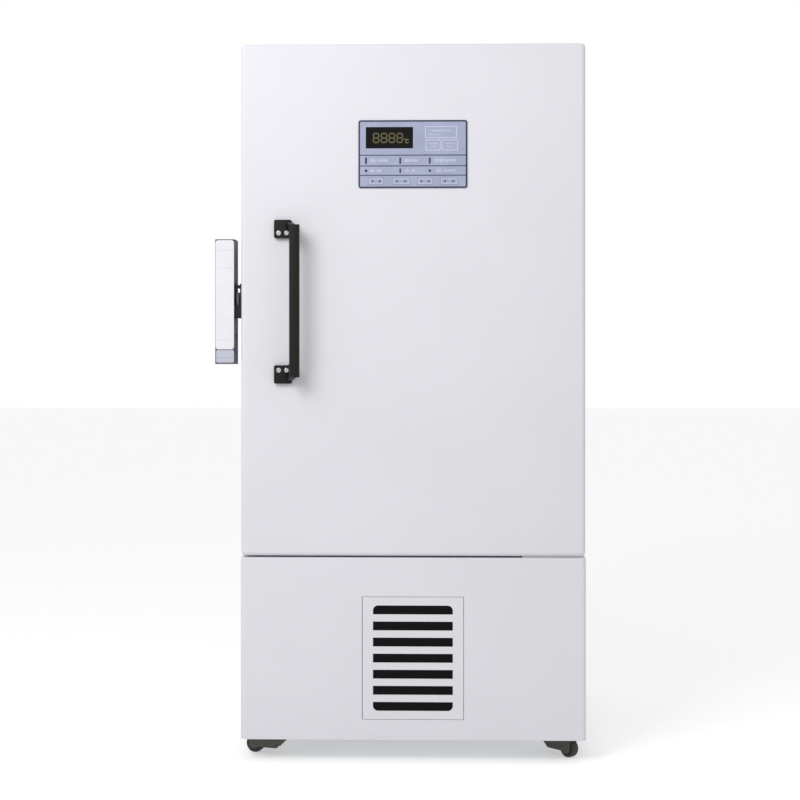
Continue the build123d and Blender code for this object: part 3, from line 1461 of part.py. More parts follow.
def build_caster(caster_x, caster_y, trail_angle):
    """The fork and the wheel of one caster; the angle turns its trail from +X."""
    trail = radians(trail_angle)
    middle = Plane(
        origin=(caster_x, caster_y, 0), x_dir=(cos(trail), sin(trail), 0), z_dir=(sin(trail), -cos(trail), 0)
    )
    overall = fork_gap + 2 * fork_cheek
    tail_rise = (fork_top + fork_underside) / 2
    with BuildPart() as fork:
        with BuildSketch(middle.offset(-overall / 2)):
            with BuildLine():
                FilletPolyline(
                    (-fork_tail, fork_top),
                    (-fork_tail, tail_rise),
                    (-fork_tail / 2, fork_underside),
                    (caster_trail, fork_underside),
                    (caster_trail + fork_boss_radius, wheel_radius),
                    (caster_trail + fork_boss_radius, 2 * wheel_radius),
                    (caster_trail, fork_top),
                    radius=3,
                    close=True,
                )
            make_face()
            with Locations((caster_trail, wheel_radius)):
                Circle(fork_boss_radius)
        extrude(amount=overall)
        with BuildSketch(middle.offset(-fork_gap / 2)):
            with Locations((0, crown_floor / 2)):
                Rectangle(4 * fork_tail, crown_floor)
        extrude(amount=fork_gap, mode=Mode.SUBTRACT)
        rod(Plane(origin=(caster_x, caster_y, fork_top)), raceway_radius, plate_floor - fork_top - touch_gap)
        bore_start = Plane(origin=(caster_x, caster_y, crown_floor - 1))
        rod(bore_start, kingpin_radius + running_fit, plate_floor - crown_floor + 1, Mode.SUBTRACT)
        axle = middle.offset(-overall / 2 - 1)
        with BuildSketch(axle):
            with Locations((caster_trail, wheel_radius)):
                Circle(axle_radius)
        extrude(amount=overall + 2)
    with BuildPart() as wheel:
        with BuildSketch(middle.offset(-wheel_width / 2)):
            with Locations((caster_trail, wheel_radius)):
                Circle(wheel_radius)
        extrude(amount=wheel_width)
        fillet(wheel.edges(), 3)
        with BuildSketch(middle.offset(-wheel_width / 2)):
            with Locations((caster_trail, wheel_radius)):
                Circle(axle_radius + running_fit)
        extrude(amount=wheel_width, mode=Mode.SUBTRACT)
        for face_side in (-1, 1):
            with BuildSketch(middle.offset(face_side * wheel_width / 2)):
                with Locations((caster_trail, wheel_radius)):
                    Circle(wheel_radius * 0.68)
                    Circle(2 * axle_radius, mode=Mode.SUBTRACT)
            extrude(amount=-face_side * wheel_width / 6, mode=Mode.SUBTRACT)
    return fork.part, wheel.part


for place_name, (caster_x, caster_y, trail_angle) in caster_places.items():
    fork_part, wheel_part = build_caster(caster_x, caster_y, trail_angle)
    save(fork_part, f"caster_fork_{place_name}")
    save(wheel_part, f"caster_wheel_{place_name}")
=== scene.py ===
"""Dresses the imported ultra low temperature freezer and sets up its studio.

Sizes are in millimetres and are turned to metres where a mesh is made. The frame is the part's
own: +Z up, front towards -Y, the middle of the footprint on the floor at the origin.
"""
import logging
import math
from collections.abc import Callable, Iterable, Iterator, Sequence
from contextlib import contextmanager
from dataclasses import dataclass
from enum import Enum

import bmesh
import bpy
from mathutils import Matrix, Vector


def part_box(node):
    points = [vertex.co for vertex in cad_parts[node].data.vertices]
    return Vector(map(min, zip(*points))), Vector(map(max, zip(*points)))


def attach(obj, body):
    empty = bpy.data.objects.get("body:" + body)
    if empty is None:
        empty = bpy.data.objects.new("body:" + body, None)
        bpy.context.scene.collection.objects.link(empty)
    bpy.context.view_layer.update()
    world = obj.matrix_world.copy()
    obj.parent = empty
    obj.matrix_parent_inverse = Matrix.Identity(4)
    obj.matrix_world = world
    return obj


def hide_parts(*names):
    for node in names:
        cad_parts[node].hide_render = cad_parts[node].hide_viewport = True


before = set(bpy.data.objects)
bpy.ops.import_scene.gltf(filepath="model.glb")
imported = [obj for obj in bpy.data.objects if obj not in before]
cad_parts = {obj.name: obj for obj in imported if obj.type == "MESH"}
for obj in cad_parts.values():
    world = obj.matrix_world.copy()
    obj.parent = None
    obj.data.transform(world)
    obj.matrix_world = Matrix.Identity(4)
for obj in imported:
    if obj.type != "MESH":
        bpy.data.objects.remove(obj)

LOG = logging.getLogger("freezer")
MM = 0.001
Span = tuple[float, float]
Point = tuple[float, float, float]
Colour = tuple[float, float, float]
X, Y, Z = 0, 1, 2
# Least share of a direction that counts as along an axis
ALIGNED = 0.99
# Greatest distance in mm that counts as on a face
TOUCH = 0.01
WHITE = (1.0, 1.0, 1.0, 1.0)
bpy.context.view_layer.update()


def span(node: str, axis: int, margin: float = 0.0) -> Span:
    """Reads how far a CAD node reaches along one axis at rest.

    Args:
        node: Name of the CAD node.
        axis: X, Y or Z.
        margin: Distance kept from each end, mm.

    Returns:
        The lower and the upper end, mm.
    """
    low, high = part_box(node)
    return low[axis] / MM + margin, high[axis] / MM - margin


def nodes_named(start: str) -> tuple[str, ...]:
    """Lists the CAD nodes whose names start in one way.

    Args:
        start: The first letters of the names.

    Returns:
        The names.
    """
    return tuple(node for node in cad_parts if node.startswith(start))


def linear(red: int, green: int, blue: int) -> Colour:
    """Turns a display colour into the linear one that a shader takes.

    Args:
        red: Red from 0 to 255.
        green: Green from 0 to 255.
        blue: Blue from 0 to 255.

    Returns:
        The three linear channels.
    """
    shares = (channel / 255 for channel in (red, green, blue))
    return tuple(s / 12.92 if s <= 0.04045 else ((s + 0.055) / 1.055) ** 2.4 for s in shares)


# Finishes


class Grain(Enum):
    """How a surface's fine pattern is scaled along x, y and z. Pores are cells and aren't scaled."""

    PEEL = (1.0, 1.0, 1.0)
    ALONG_X = (0.03, 1.0, 1.0)
    ALONG_Z = (1.0, 1.0, 0.03)
    PORES = None


@dataclass(frozen=True)
class Finish:
    """One surface finish with its colour drift, fine relief and gloss.

    Args:
        name: Material name.
        colour: Mean colour, linear.
        drift: Share by which the colour wanders over the surface.
        drift_scale: How many patches of that drift there are per metre.
        grain: Direction or kind of the fine relief.
        grain_scale: How many grains there are per metre.
        relief: Height of the fine relief in millimetres.
        rough: Lowest and highest roughness.
        metal: Metallic share.
        coat: Weight of a clear coat.
        sheen: Weight of a soft sheen.
        mirror: Specular level.
    """

    name: str
    colour: Colour
    drift: float = 0.04
    drift_scale: float = 6.0
    grain: Grain = Grain.PEEL
    grain_scale: float = 500.0
    relief: float = 0.03
    rough: Span = (0.4, 0.5)
    metal: float = 0.0
    coat: float = 0.0
    sheen: float = 0.0
    mirror: float = 0.5

    def material(self) -> bpy.types.Material:
        """Builds the material once and then hands out the same one.

        Returns:
            The material.
        """
        made = bpy.data.materials.get(self.name)
        return made or self._make()

    def _make(self) -> bpy.types.Material:
        """Builds the material's node tree.

        Returns:
            The finished material.
        """
        made = bpy.data.materials.new(self.name)
        made.use_nodes = True
        tree = made.node_tree
        shader = tree.nodes["Principled BSDF"]
        shader.inputs["Metallic"].default_value = self.metal
        shader.inputs["Coat Weight"].default_value = self.coat
        shader.inputs["Sheen Weight"].default_value = self.sheen
        shader.inputs["Specular IOR Level"].default_value = self.mirror
        place = tree.nodes.new("ShaderNodeTexCoord").outputs["Object"]
        patches = self._noise(tree, place, self.drift_scale, 3.0)
        grains = self._grains(tree, place)
        self._tint(tree, patches, shader)
        gloss = tree.nodes.new("ShaderNodeMapRange")
        gloss.inputs["To Min"].default_value = self.rough[0]
        gloss.inputs["To Max"].default_value = self.rough[1]
        tree.links.new(grains, gloss.inputs["Value"])
        tree.links.new(gloss.outputs["Result"], shader.inputs["Roughness"])
        bump = tree.nodes.new("ShaderNodeBump")
        bump.inputs["Distance"].default_value = self.relief * MM
        bump.inputs["Strength"].default_value = 0.8
        tree.links.new(grains, bump.inputs["Height"])
        tree.links.new(bump.outputs["Normal"], shader.inputs["Normal"])
        return made

    def _noise(self, tree: bpy.types.NodeTree, place: bpy.types.NodeSocket, scale: float,
               detail: float) -> bpy.types.NodeSocket:
        """Adds a noise pattern.

        Args:
            tree: The material's node tree.
            place: Socket with the place on the surface.
            scale: Patches per metre.
            detail: How fine its steps go.

        Returns:
            The socket with its height.
        """
        noise = tree.nodes.new("ShaderNodeTexNoise")
        noise.inputs["Scale"].default_value = scale
        noise.inputs["Detail"].default_value = detail
        tree.links.new(place, noise.inputs["Vector"])
        return noise.outputs["Fac"]

    def _grains(self, tree: bpy.types.NodeTree, place: bpy.types.NodeSocket) -> bpy.types.NodeSocket:
        """Adds the fine relief's pattern.

        Args:
            tree: The material's node tree.
            place: Socket with the place on the surface.

        Returns:
            The socket with its height.
        """
        if self.grain is Grain.PORES:
            cells = tree.nodes.new("ShaderNodeTexVoronoi")
            cells.inputs["Scale"].default_value = self.grain_scale
            tree.links.new(place, cells.inputs["Vector"])
            return cells.outputs["Distance"]
        mapping = tree.nodes.new("ShaderNodeMapping")
        mapping.inputs["Scale"].default_value = self.grain.value
        tree.links.new(place, mapping.inputs["Vector"])
        return self._noise(tree, mapping.outputs["Vector"], self.grain_scale, 2.0)

    def _tint(self, tree: bpy.types.NodeTree, patches: bpy.types.NodeSocket,
              shader: bpy.types.ShaderNode) -> None:
        """Lets the colour wander a little between a darker and a lighter shade.

        Args:
            tree: The material's node tree.
            patches: Socket with the height of the slow pattern.
            shader: The surface shader.
        """
        ramp = tree.nodes.new("ShaderNodeValToRGB")
        for stop, share in zip(ramp.color_ramp.elements, (1 - self.drift, 1 + self.drift)):
            stop.color = (*(min(1.0, channel * share) for channel in self.colour), 1.0)
        ramp.color_ramp.elements[0].position = 0.35
        ramp.color_ramp.elements[1].position = 0.65
        tree.links.new(patches, ramp.inputs["Fac"])
        tree.links.new(ramp.outputs["Color"], shader.inputs["Base Color"])

    def dress(self, *pieces: bpy.types.Object) -> None:
        """Gives the finish to every slot of some pieces.

        Args:
            pieces: The pieces.
        """
        for piece in pieces:
            if not piece.data.materials:
                piece.data.materials.append(self.material())
            for index in range(len(piece.data.materials)):
                piece.data.materials[index] = self.material()


POWDER_COAT = Finish("powder_coat_white", linear(229, 228, 234), 0.012, 3.0, grain_scale=420.0,
                     relief=0.02, rough=(0.5, 0.6), mirror=0.3)
LEVER_PAINT = Finish("lever_cover_white", linear(234, 234, 239), 0.02, 14.0, grain_scale=600.0,
                     relief=0.02, rough=(0.4, 0.5), mirror=0.35)
# Dark grey lever body that shows as a thin rim round the lighter cover. Its darkness is partly the body's
# own colour and partly painted shade on the lever's shadowed sides and underside.
LEVER_BODY_AND_PAINTED_SHADE = Finish("lever_body_grey_and_painted_shade", linear(104, 106, 116), 0.05, 14.0, grain_scale=700.0,
                    relief=0.03, rough=(0.45, 0.55), mirror=0.3)
LEVER_TRIM = Finish("lever_trim_grey", linear(190, 193, 206), 0.03, 20.0, relief=0.02, rough=(0.35, 0.45))
STAINLESS = Finish("brushed_stainless", linear(196, 197, 199), 0.03, 9.0, Grain.ALONG_X, 900.0,
                   0.015, (0.24, 0.4), metal=1.0)
ZINC = Finish("zinc_plate", linear(168, 170, 174), 0.06, 30.0, Grain.PORES, 260.0, 0.03,
              (0.3, 0.48), metal=1.0)
FORK_GREY = Finish("fork_olive_grey", linear(92, 91, 84), 0.08, 40.0, Grain.PORES, 240.0, 0.03,
                   (0.42, 0.55), mirror=0.3)
BRIGHT_SCREW = Finish("bright_screw", linear(182, 182, 184), 0.06, 60.0, relief=0.02,
                      rough=(0.22, 0.36), metal=1.0)
BLACK_PLASTIC = Finish("black_handle_plastic", linear(20, 20, 19), 0.1, 20.0, grain_scale=1400.0,
                       relief=0.05, rough=(0.3, 0.42), mirror=0.2)
BLACK_STEEL = Finish("black_painted_steel", linear(20, 20, 22), 0.1, 30.0, grain_scale=700.0,
                     relief=0.04, rough=(0.4, 0.5), mirror=0.25)
BLACK_RUBBER = Finish("black_rubber", linear(18, 18, 18), 0.1, 40.0, grain_scale=900.0,
                      relief=0.06, rough=(0.6, 0.75), mirror=0.2)
GREY_SILICONE = Finish("grey_silicone", linear(178, 180, 184), 0.04, 12.0, grain_scale=800.0,
                       relief=0.03, rough=(0.5, 0.62), sheen=0.15)
WHITE_ABS = Finish("white_vacuum_formed_sheet", linear(232, 232, 232), 0.015, 5.0, grain_scale=650.0,
                   relief=0.03, rough=(0.34, 0.44))
GREY_PLASTIC = Finish("grey_plastic", linear(140, 142, 148), 0.04, 15.0, grain_scale=900.0,
                      relief=0.04, rough=(0.45, 0.58))
DARK_PLASTIC = Finish("dark_moulded_plastic", linear(52, 54, 58), 0.06, 18.0, grain_scale=900.0,
                      relief=0.04, rough=(0.42, 0.55))
PANEL_FILM = Finish("panel_film_lavender", linear(166, 171, 198), 0.06, 14.0, grain_scale=1600.0,
                    relief=0.01, rough=(0.34, 0.42), mirror=0.35)
RIM_INK = Finish("panel_rim_ink", linear(38, 42, 60), 0.08, 20.0, relief=0.01, rough=(0.3, 0.4))
LINE_INK = Finish("panel_line_ink", linear(70, 76, 108), 0.08, 60.0, relief=0.01, rough=(0.3, 0.4))
PALE_INK = Finish("panel_pale_ink", linear(198, 202, 224), 0.05, 60.0, relief=0.01, rough=(0.3, 0.4))
LABEL_INK = Finish("panel_label_ink", linear(188, 192, 216), 0.06, 60.0, relief=0.01, rough=(0.3, 0.4))
SMOKED_WINDOW = Finish("smoked_window", linear(9, 9, 9), 0.2, 10.0, relief=0.004,
                       rough=(0.12, 0.2), mirror=0.15)
DIM_SEGMENT = Finish("dim_segment", linear(92, 86, 46), 0.12, 90.0, relief=0.01, rough=(0.4, 0.5))
UNIT_SEGMENT = Finish("unit_segment", linear(140, 126, 100), 0.1, 90.0, relief=0.01, rough=(0.4, 0.5))
FILTER_FOAM = Finish("open_cell_filter_foam", linear(15, 16, 16), 0.3, 240.0, Grain.PORES, 420.0,
                     1.2, (0.8, 0.95), mirror=0.12)
RIGID_FOAM = Finish("rigid_foam", linear(226, 206, 150), 0.08, 16.0, Grain.PORES, 300.0, 0.4, (0.75, 0.9))
COPPER = Finish("drawn_copper", linear(196, 124, 88), 0.1, 24.0, relief=0.02, rough=(0.22, 0.4), metal=1.0)
ALUMINIUM = Finish("mill_aluminium", linear(190, 192, 196), 0.05, 20.0, Grain.ALONG_Z, 700.0,
                   0.02, (0.3, 0.45), metal=1.0)
COMPRESSOR_BLACK = Finish("compressor_enamel", linear(20, 20, 22), 0.15, 12.0, grain_scale=260.0,
                          relief=0.08, rough=(0.24, 0.38), coat=0.2)
GALVANISED = Finish("galvanised_sheet", linear(176, 180, 184), 0.09, 34.0, Grain.PORES, 90.0, 0.02,
                    (0.32, 0.5), metal=1.0)

NODE_FINISHES: dict[Finish, tuple[str, ...]] = {
    POWDER_COAT: ("cabinet_shell", "door_outer_skin", "base_front_panel", "base_side_panel_left",
                  "base_side_panel_right", "filter_grille", "base_rear_grille"),
    GALVANISED: ("cabinet_back", "base_frame", "control_box", "caster_plates", "fan_shroud"),
    STAINLESS: ("chamber_liner", "shelf_standards", "shelves", "door_hinge_plates", "latch_striker"),
    WHITE_ABS: ("breaker_frame", "door_inner_liner", "inner_door_lower", "inner_door_upper",
                "access_port_liner"),
    RIGID_FOAM: ("insulation_foam", "door_foam"),
    COPPER: ("evaporator_coil", "refrigerant_lines"),
    ALUMINIUM: ("condenser",),
    GREY_PLASTIC: ("wall_spacers", "door_hinge_bushes", "inner_door_hinges"),
    DARK_PLASTIC: ("controller_housing", "mains_inlet", "fan_blade"),
    BLACK_STEEL: ("latch_bracket", "fan_motor"),
    ZINC: ("latch_hook",),
    FORK_GREY: nodes_named("caster_fork"),
    BLACK_RUBBER: ("mains_switch_rocker",) + nodes_named("caster_wheel"),
    BLACK_PLASTIC: ("handle_bar", "handle_brackets"),
    BRIGHT_SCREW: ("handle_screws",),
    # The lever body's dark grey partly stands for painted shade on its sides and underside.
    LEVER_BODY_AND_PAINTED_SHADE: ("latch_lever",),
    GREY_SILICONE: ("door_gasket",),
    FILTER_FOAM: ("air_filter",),
    PANEL_FILM: ("panel_overlay", "key_1", "key_2", "key_3", "key_4"),
    SMOKED_WINDOW: ("display_module",),
    COMPRESSOR_BLACK: ("compressor_high_stage", "compressor_low_stage", "cascade_heat_exchanger"),
}


# Modelling steps


class Bench:
    """The modelling steps that the pieces share, each one an operator on a chosen part of a mesh."""

    @staticmethod
    def clear() -> None:
        """Leaves edit mode and selects nothing."""
        if bpy.context.object and bpy.context.object.mode != "OBJECT":
            bpy.ops.object.mode_set(mode="OBJECT")
        bpy.ops.object.select_all(action="DESELECT")

    @staticmethod
    def pick(*pieces: bpy.types.Object) -> None:
        """Selects only these pieces, the first one active.

        Args:
            pieces: The pieces.
        """
        Bench.clear()
        for piece in pieces:
            piece.select_set(True)
        bpy.context.view_layer.objects.active = pieces[0]

    @staticmethod
    def block(name: str, x_span: Span, y_span: Span, z_span: Span) -> bpy.types.Object:
        """Starts a piece from a box.

        Args:
            name: Piece name.
            x_span: Left and right, mm.
            y_span: Front and rear, mm.
            z_span: Bottom and top, mm.

        Returns:
            The piece, at the origin, with its place in its mesh.
        """
        Bench.clear()
        spans = (x_span, y_span, z_span)
        middle = tuple(sum(span) / 2 * MM for span in spans)
        bpy.ops.mesh.primitive_cube_add(size=1.0, location=middle)
        piece = bpy.context.object
        piece.name = name
        piece.scale = tuple(abs(span[1] - span[0]) * MM for span in spans)
        bpy.ops.object.transform_apply(location=True, rotation=True, scale=True)
        return piece

    @staticmethod
    def disc(name: str, centre: Point, radius: float, depth: float, sides: int = 32,
             axis: str = "Y") -> bpy.types.Object:
        """Starts a piece from a cylinder.

        Args:
            name: Piece name.
            centre: Middle of the cylinder, mm.
            radius: Radius, mm.
            depth: Length along its axis, mm.
            sides: Number of sides.
            axis: Axis letter.

        Returns:
            The piece with its place in its mesh.
        """
        Bench.clear()
        turn = {"X": (0, math.pi / 2, 0), "Y": (math.pi / 2, 0, 0), "Z": (0, 0, 0)}[axis]
        bpy.ops.mesh.primitive_cylinder_add(vertices=sides, radius=radius * MM, depth=depth * MM,
                                            location=tuple(c * MM for c in centre), rotation=turn)
        piece = bpy.context.object
        piece.name = name
        bpy.ops.object.transform_apply(location=True, rotation=True, scale=True)
        return piece

    @staticmethod
    @contextmanager
    def editing(piece: bpy.types.Object, mode: str = "FACE") -> Iterator[None]:
        """Opens a piece in edit mode with nothing selected, and closes it again.

        Args:
            piece: The piece.
            mode: FACE or EDGE.
        """
        Bench.pick(piece)
        bpy.ops.object.mode_set(mode="EDIT")
        bpy.ops.mesh.select_mode(type=mode)
        bpy.ops.mesh.select_all(action="DESELECT")
        yield
        bpy.ops.object.mode_set(mode="OBJECT")

    @staticmethod
    def choose(piece: bpy.types.Object, mode: str, wanted: Callable[[Vector, Vector], bool]) -> int:
        """Selects faces or edges in edit mode by their place and direction.

        Args:
            piece: The piece in edit mode.
            mode: FACE or EDGE.
            wanted: Takes the middle in mm, and a face's normal or an edge's direction.

        Returns:
            How many were selected.
        """
        bpy.ops.mesh.select_mode(type=mode)
        bpy.ops.mesh.select_all(action="DESELECT")
        mesh = bmesh.from_edit_mesh(piece.data)
        found = 0
        for part in mesh.faces if mode == "FACE" else mesh.edges:
            if mode == "FACE":
                middle, way = part.calc_center_median(), part.normal
            else:
                ends = [v.co for v in part.verts]
                middle, way = (ends[0] + ends[1]) / 2, (ends[1] - ends[0]).normalized()
            if wanted(middle / MM, way):
                part.select_set(True)
                found += 1
        bmesh.update_edit_mesh(piece.data)
        return found

    @staticmethod
    def plate(name: str, x_span: Span, y_span: Span, z_span: Span, corner: float, edge: float,
              steps: int = 5) -> bpy.types.Object:
        """A front plate with rounded corners and a softened front rim.

        Args:
            name: Piece name.
            x_span: Left and right, mm.
            y_span: Front and rear, mm.
            z_span: Bottom and top, mm.
            corner: Corner radius seen from the front, mm.
            edge: Radius of the front rim, mm.
            steps: Segments of each corner.

        Returns:
            The piece.
        """
        piece = Bench.block(name, x_span, y_span, z_span)
        with Bench.editing(piece, "EDGE"):
            Bench.choose(piece, "EDGE", lambda middle, way: abs(way.y) > ALIGNED)
            bpy.ops.mesh.bevel(offset=corner * MM, segments=steps, affect="EDGES")
            if edge:
                front = min(y_span)
                Bench.choose(piece, "EDGE", lambda middle, way: (
                    abs(middle.y - front) < TOUCH and abs(way.y) < ALIGNED))
                bpy.ops.mesh.bevel(offset=edge * MM, segments=2, affect="EDGES")
        return piece

    @staticmethod
    def frame_plate(name: str, x_span: Span, y_span: Span, z_span: Span, corner: float,
                    wall: float) -> bpy.types.Object:
        """A flat outline: a rounded plate whose middle is inset and taken out.

        Args:
            name: Piece name.
            x_span: Left and right, mm.
            y_span: Front and rear, mm.
            z_span: Bottom and top, mm.
            corner: Outer corner radius, mm.
            wall: Width of the outline, mm.

        Returns:
            The piece.
        """
        piece = Bench.plate(name, x_span, y_span, z_span, corner, 0.0)
        with Bench.editing(piece):
            Bench.choose(piece, "FACE", lambda middle, way: abs(way.y) > ALIGNED)
            bpy.ops.mesh.inset(thickness=wall * MM)
            bpy.ops.mesh.bridge_edge_loops()
        return piece

    @staticmethod
    def join(name: str, pieces: Sequence[bpy.types.Object]) -> bpy.types.Object:
        """Joins pieces into one with a new name.

        Args:
            name: Piece name.
            pieces: The pieces, the first of which takes in the others.

        Returns:
            The joined piece.
        """
        Bench.pick(*pieces)
        if len(pieces) > 1:
            bpy.ops.object.join()
        pieces[0].name = name
        pieces[0].data.name = name
        return pieces[0]

    @staticmethod
    def modify(piece: bpy.types.Object, kind: str, **settings: object) -> None:
        """Adds a modifier with its settings and applies it.

        Args:
            piece: The piece.
            kind: Blender's name for the kind of modifier.
            settings: The modifier's settings.
        """
        Bench.pick(piece)
        modifier = piece.modifiers.new(kind.lower(), kind)
        for key, value in settings.items():
            setattr(modifier, key, value)
        bpy.ops.object.modifier_apply(modifier=modifier.name)

    @staticmethod
    def smooth(piece: bpy.types.Object, degrees: float = 35.0) -> None:
        """Shades round faces smooth and keeps real edges sharp.

        Args:
            piece: The piece.
            degrees: Least angle of an edge that stays sharp.
        """
        Bench.pick(piece)
        bpy.ops.object.shade_smooth_by_angle(angle=math.radians(degrees))


def place(piece: bpy.types.Object, finish: Finish, body: str, *stands_for: str) -> bpy.types.Object:
    """Dresses a finished piece and puts it on its body.

    Args:
        piece: The finished piece.
        finish: Its finish.
        body: The CAD body that it moves with.
        stands_for: The CAD nodes that it replaces.

    Returns:
        The piece.
    """
    finish.dress(piece)
    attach(piece, body)
    if stands_for:
        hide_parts(*stands_for)
    LOG.info("%s rides on %s, %d faces", piece.name, body, len(piece.data.polygons))
    return piece


# Sub-assemblies


@dataclass
class ControlPanel:
    """The printed film, window and keys of the controller in the door."""

    x_span: Span = span("panel_overlay", X)
    film_front: float = span("panel_overlay", Y)[0]
    window_front: float = span("display_module", Y)[0]
    key_front: float = span("key_1", Y)[0]
    ink: float = 0.15
    ink_edge: float = 0.05
    rim_inset: float = 0.6
    rim_width: float = 4.2
    corner: float = 7.0
    rule_corner: float = 0.4
    box_corner: float = 2.5
    label_corner: float = 1.2
    lamp_corner: float = 2.0
    rule_levels: tuple[float, ...] = (1646.1, 1617.1, 1591.6)
    rule_height: float = 3.0
    outline: float = 2.4
    key_count: int = 4
    key_rim: float = 1.2
    key_corner: float = 4.0
    key_line: float = 1.7
    mark_reach: float = 0.24
    mark_half: float = 2.6
    digit_lefts: tuple[float, ...] = (-73.2, -51.7, -30.3, -8.9)
    digit_width: float = 17.4
    digit_height: float = 27.6
    digit_z: float = 1692.9
    segment: float = 3.3
    segment_gap: float = 0.5
    segment_point: float = 0.47
    ring_x: Span = (11.0, 14.6)
    ring_z: Span = (1688.4, 1692.0)
    ring_corner: float = 1.7
    ring_line: float = 0.8
    letter_x: Span = (15.6, 24.0)
    letter_z: Span = (1678.6, 1689.6)
    letter_corner: float = 3.0
    letter_line: float = 1.7
    letter_opening: float = 2.4
    label_boxes: tuple[tuple[float, float, float, float], ...] = (
        (68.3, 155.0, 1692.6, 1724.7), (69.7, 110.9, 1658.6, 1688.4), (114.1, 157.7, 1658.6, 1688.4))
    label_bars: tuple[tuple[float, float, float, float], ...] = (
        (84.0, 138.0, 1710.5, 1714.5), (76.0, 112.0, 1700.0, 1703.4),
        (78.0, 102.5, 1675.5, 1679.0), (82.0, 99.0, 1667.5, 1670.5),
        (122.0, 150.0, 1675.5, 1679.0), (126.0, 145.0, 1667.5, 1670.5),
        (-81.5, -64.5, 1627.5, 1636.0), (-60.5, -32.0, 1628.5, 1635.0),
        (12.5, 26.0, 1627.5, 1636.0), (28.5, 49.5, 1628.5, 1635.0),
        (92.0, 118.5, 1627.5, 1636.0), (122.0, 152.5, 1628.5, 1635.0),
        (-82.5, -69.0, 1600.5, 1607.5), (-63.0, -49.5, 1600.5, 1607.5),
        (14.0, 24.5, 1601.0, 1607.0), (31.5, 41.5, 1600.5, 1607.5),
        (98.0, 111.5, 1600.5, 1607.5), (119.5, 150.0, 1601.5, 1606.5))
    lamp_marks: tuple[tuple[float, float, float, float], ...] = (
        (-94.5, -89.0, 1622.5, 1640.0), (-1.5, 3.5, 1622.5, 1640.0), (78.5, 83.5, 1622.5, 1640.0),
        (-95.0, -88.0, 1600.5, 1607.5), (-1.0, 3.0, 1597.5, 1610.5), (78.0, 84.5, 1600.5, 1607.5))

    def build(self) -> None:
        """Builds every printed and lit piece of the panel."""
        place(self._rim(), RIM_INK, "door")
        place(self._rules(), LINE_INK, "door")
        place(self._outlines(), PALE_INK, "door")
        place(self._marks("panel_labels", self.label_bars, self.label_corner), LABEL_INK, "door")
        place(self._marks("panel_lamps", self.lamp_marks, self.lamp_corner), RIM_INK, "door")
        place(self._digits(), DIM_SEGMENT, "door")
        place(self._unit(), UNIT_SEGMENT, "door")
        for number in range(1, self.key_count + 1):
            key = f"key_{number}"
            place(self._key_outline(key), PALE_INK, key)
            place(self._key_marks(key), LINE_INK, key)

    def _film_span(self, front: float) -> Span:
        """Works out the front and rear of a print that lies on a face.

        Args:
            front: Depth of that face, mm.

        Returns:
            The print's front and rear, mm.
        """
        return (front - self.ink, front + self.ink)

    def _rim(self) -> bpy.types.Object:
        """The dark printed border of the film."""
        return Bench.frame_plate("panel_rim", span("panel_overlay", X, self.rim_inset),
                                 self._film_span(self.film_front),
                                 span("panel_overlay", Z, self.rim_inset), self.corner, self.rim_width)

    def _rules(self) -> bpy.types.Object:
        """The three dark rules between the rows."""
        sides = (self.x_span[0] + self.rim_width, self.x_span[1] - self.rim_width)
        rules = [Bench.plate(f"rule_{z:.0f}", sides, self._film_span(self.film_front),
                             (z - self.rule_height / 2, z + self.rule_height / 2),
                             self.rule_corner, self.ink_edge, 2)
                 for z in self.rule_levels]
        return Bench.join("panel_rules", rules)

    def _outlines(self) -> bpy.types.Object:
        """The pale outlines of the three label boxes."""
        boxes = [Bench.frame_plate(f"box_{left:.0f}_{low:.0f}", (left, right),
                                   self._film_span(self.film_front), (low, high), self.box_corner,
                                   self.outline)
                 for left, right, low, high in self.label_boxes]
        return Bench.join("panel_label_boxes", boxes)

    def _marks(self, name: str, spans: Iterable[tuple[float, float, float, float]],
               corner: float) -> bpy.types.Object:
        """Small rounded bars that stand for labels and lamps.

        Args:
            name: Piece name.
            spans: Left, right, bottom and top of each bar, mm.
            corner: Corner radius of the bars, mm.

        Returns:
            The joined bars.
        """
        bars = [Bench.plate(f"bar_{left:.0f}_{low:.0f}", (left, right), self._film_span(self.film_front),
                            (low, high), corner, self.ink_edge, 3)
                for left, right, low, high in spans]
        return Bench.join(name, bars)

    def _digits(self) -> bpy.types.Object:
        """Four seven-segment figures."""
        return Bench.join("display_digits", [s for left in self.digit_lefts for s in self._figure(left)])

    def _figure(self, left: float) -> list[bpy.types.Object]:
        """One figure of seven bars with pointed ends.

        Args:
            left: Left side of the figure, mm.

        Returns:
            The seven bars.
        """
        half, gap = self.segment / 2, self.segment_gap
        right = left + self.digit_width
        low, high = self.digit_z - self.digit_height / 2, self.digit_z + self.digit_height / 2
        depth = self._film_span(self.window_front)
        bars = []
        for z in (low + half, self.digit_z, high - half):
            bars.append(self._bar(f"flat_{left:.0f}_{z:.0f}", (left + half + gap, right - half - gap),
                                  depth, (z - half, z + half)))
        for x in (left + half, right - half):
            for start, end in ((low + half, self.digit_z), (self.digit_z, high - half)):
                bars.append(self._bar(f"post_{x:.0f}_{start:.0f}", (x - half, x + half), depth,
                                      (start + gap, end - gap)))
        return bars

    def _bar(self, name: str, x_span: Span, y_span: Span, z_span: Span) -> bpy.types.Object:
        """One segment: a bar whose ends are bevelled to points.

        Args:
            name: Piece name.
            x_span: Left and right, mm.
            y_span: Front and rear, mm.
            z_span: Bottom and top, mm.

        Returns:
            The bar.
        """
        return Bench.plate(name, x_span, y_span, z_span, self.segment * self.segment_point, 0.0, 1)

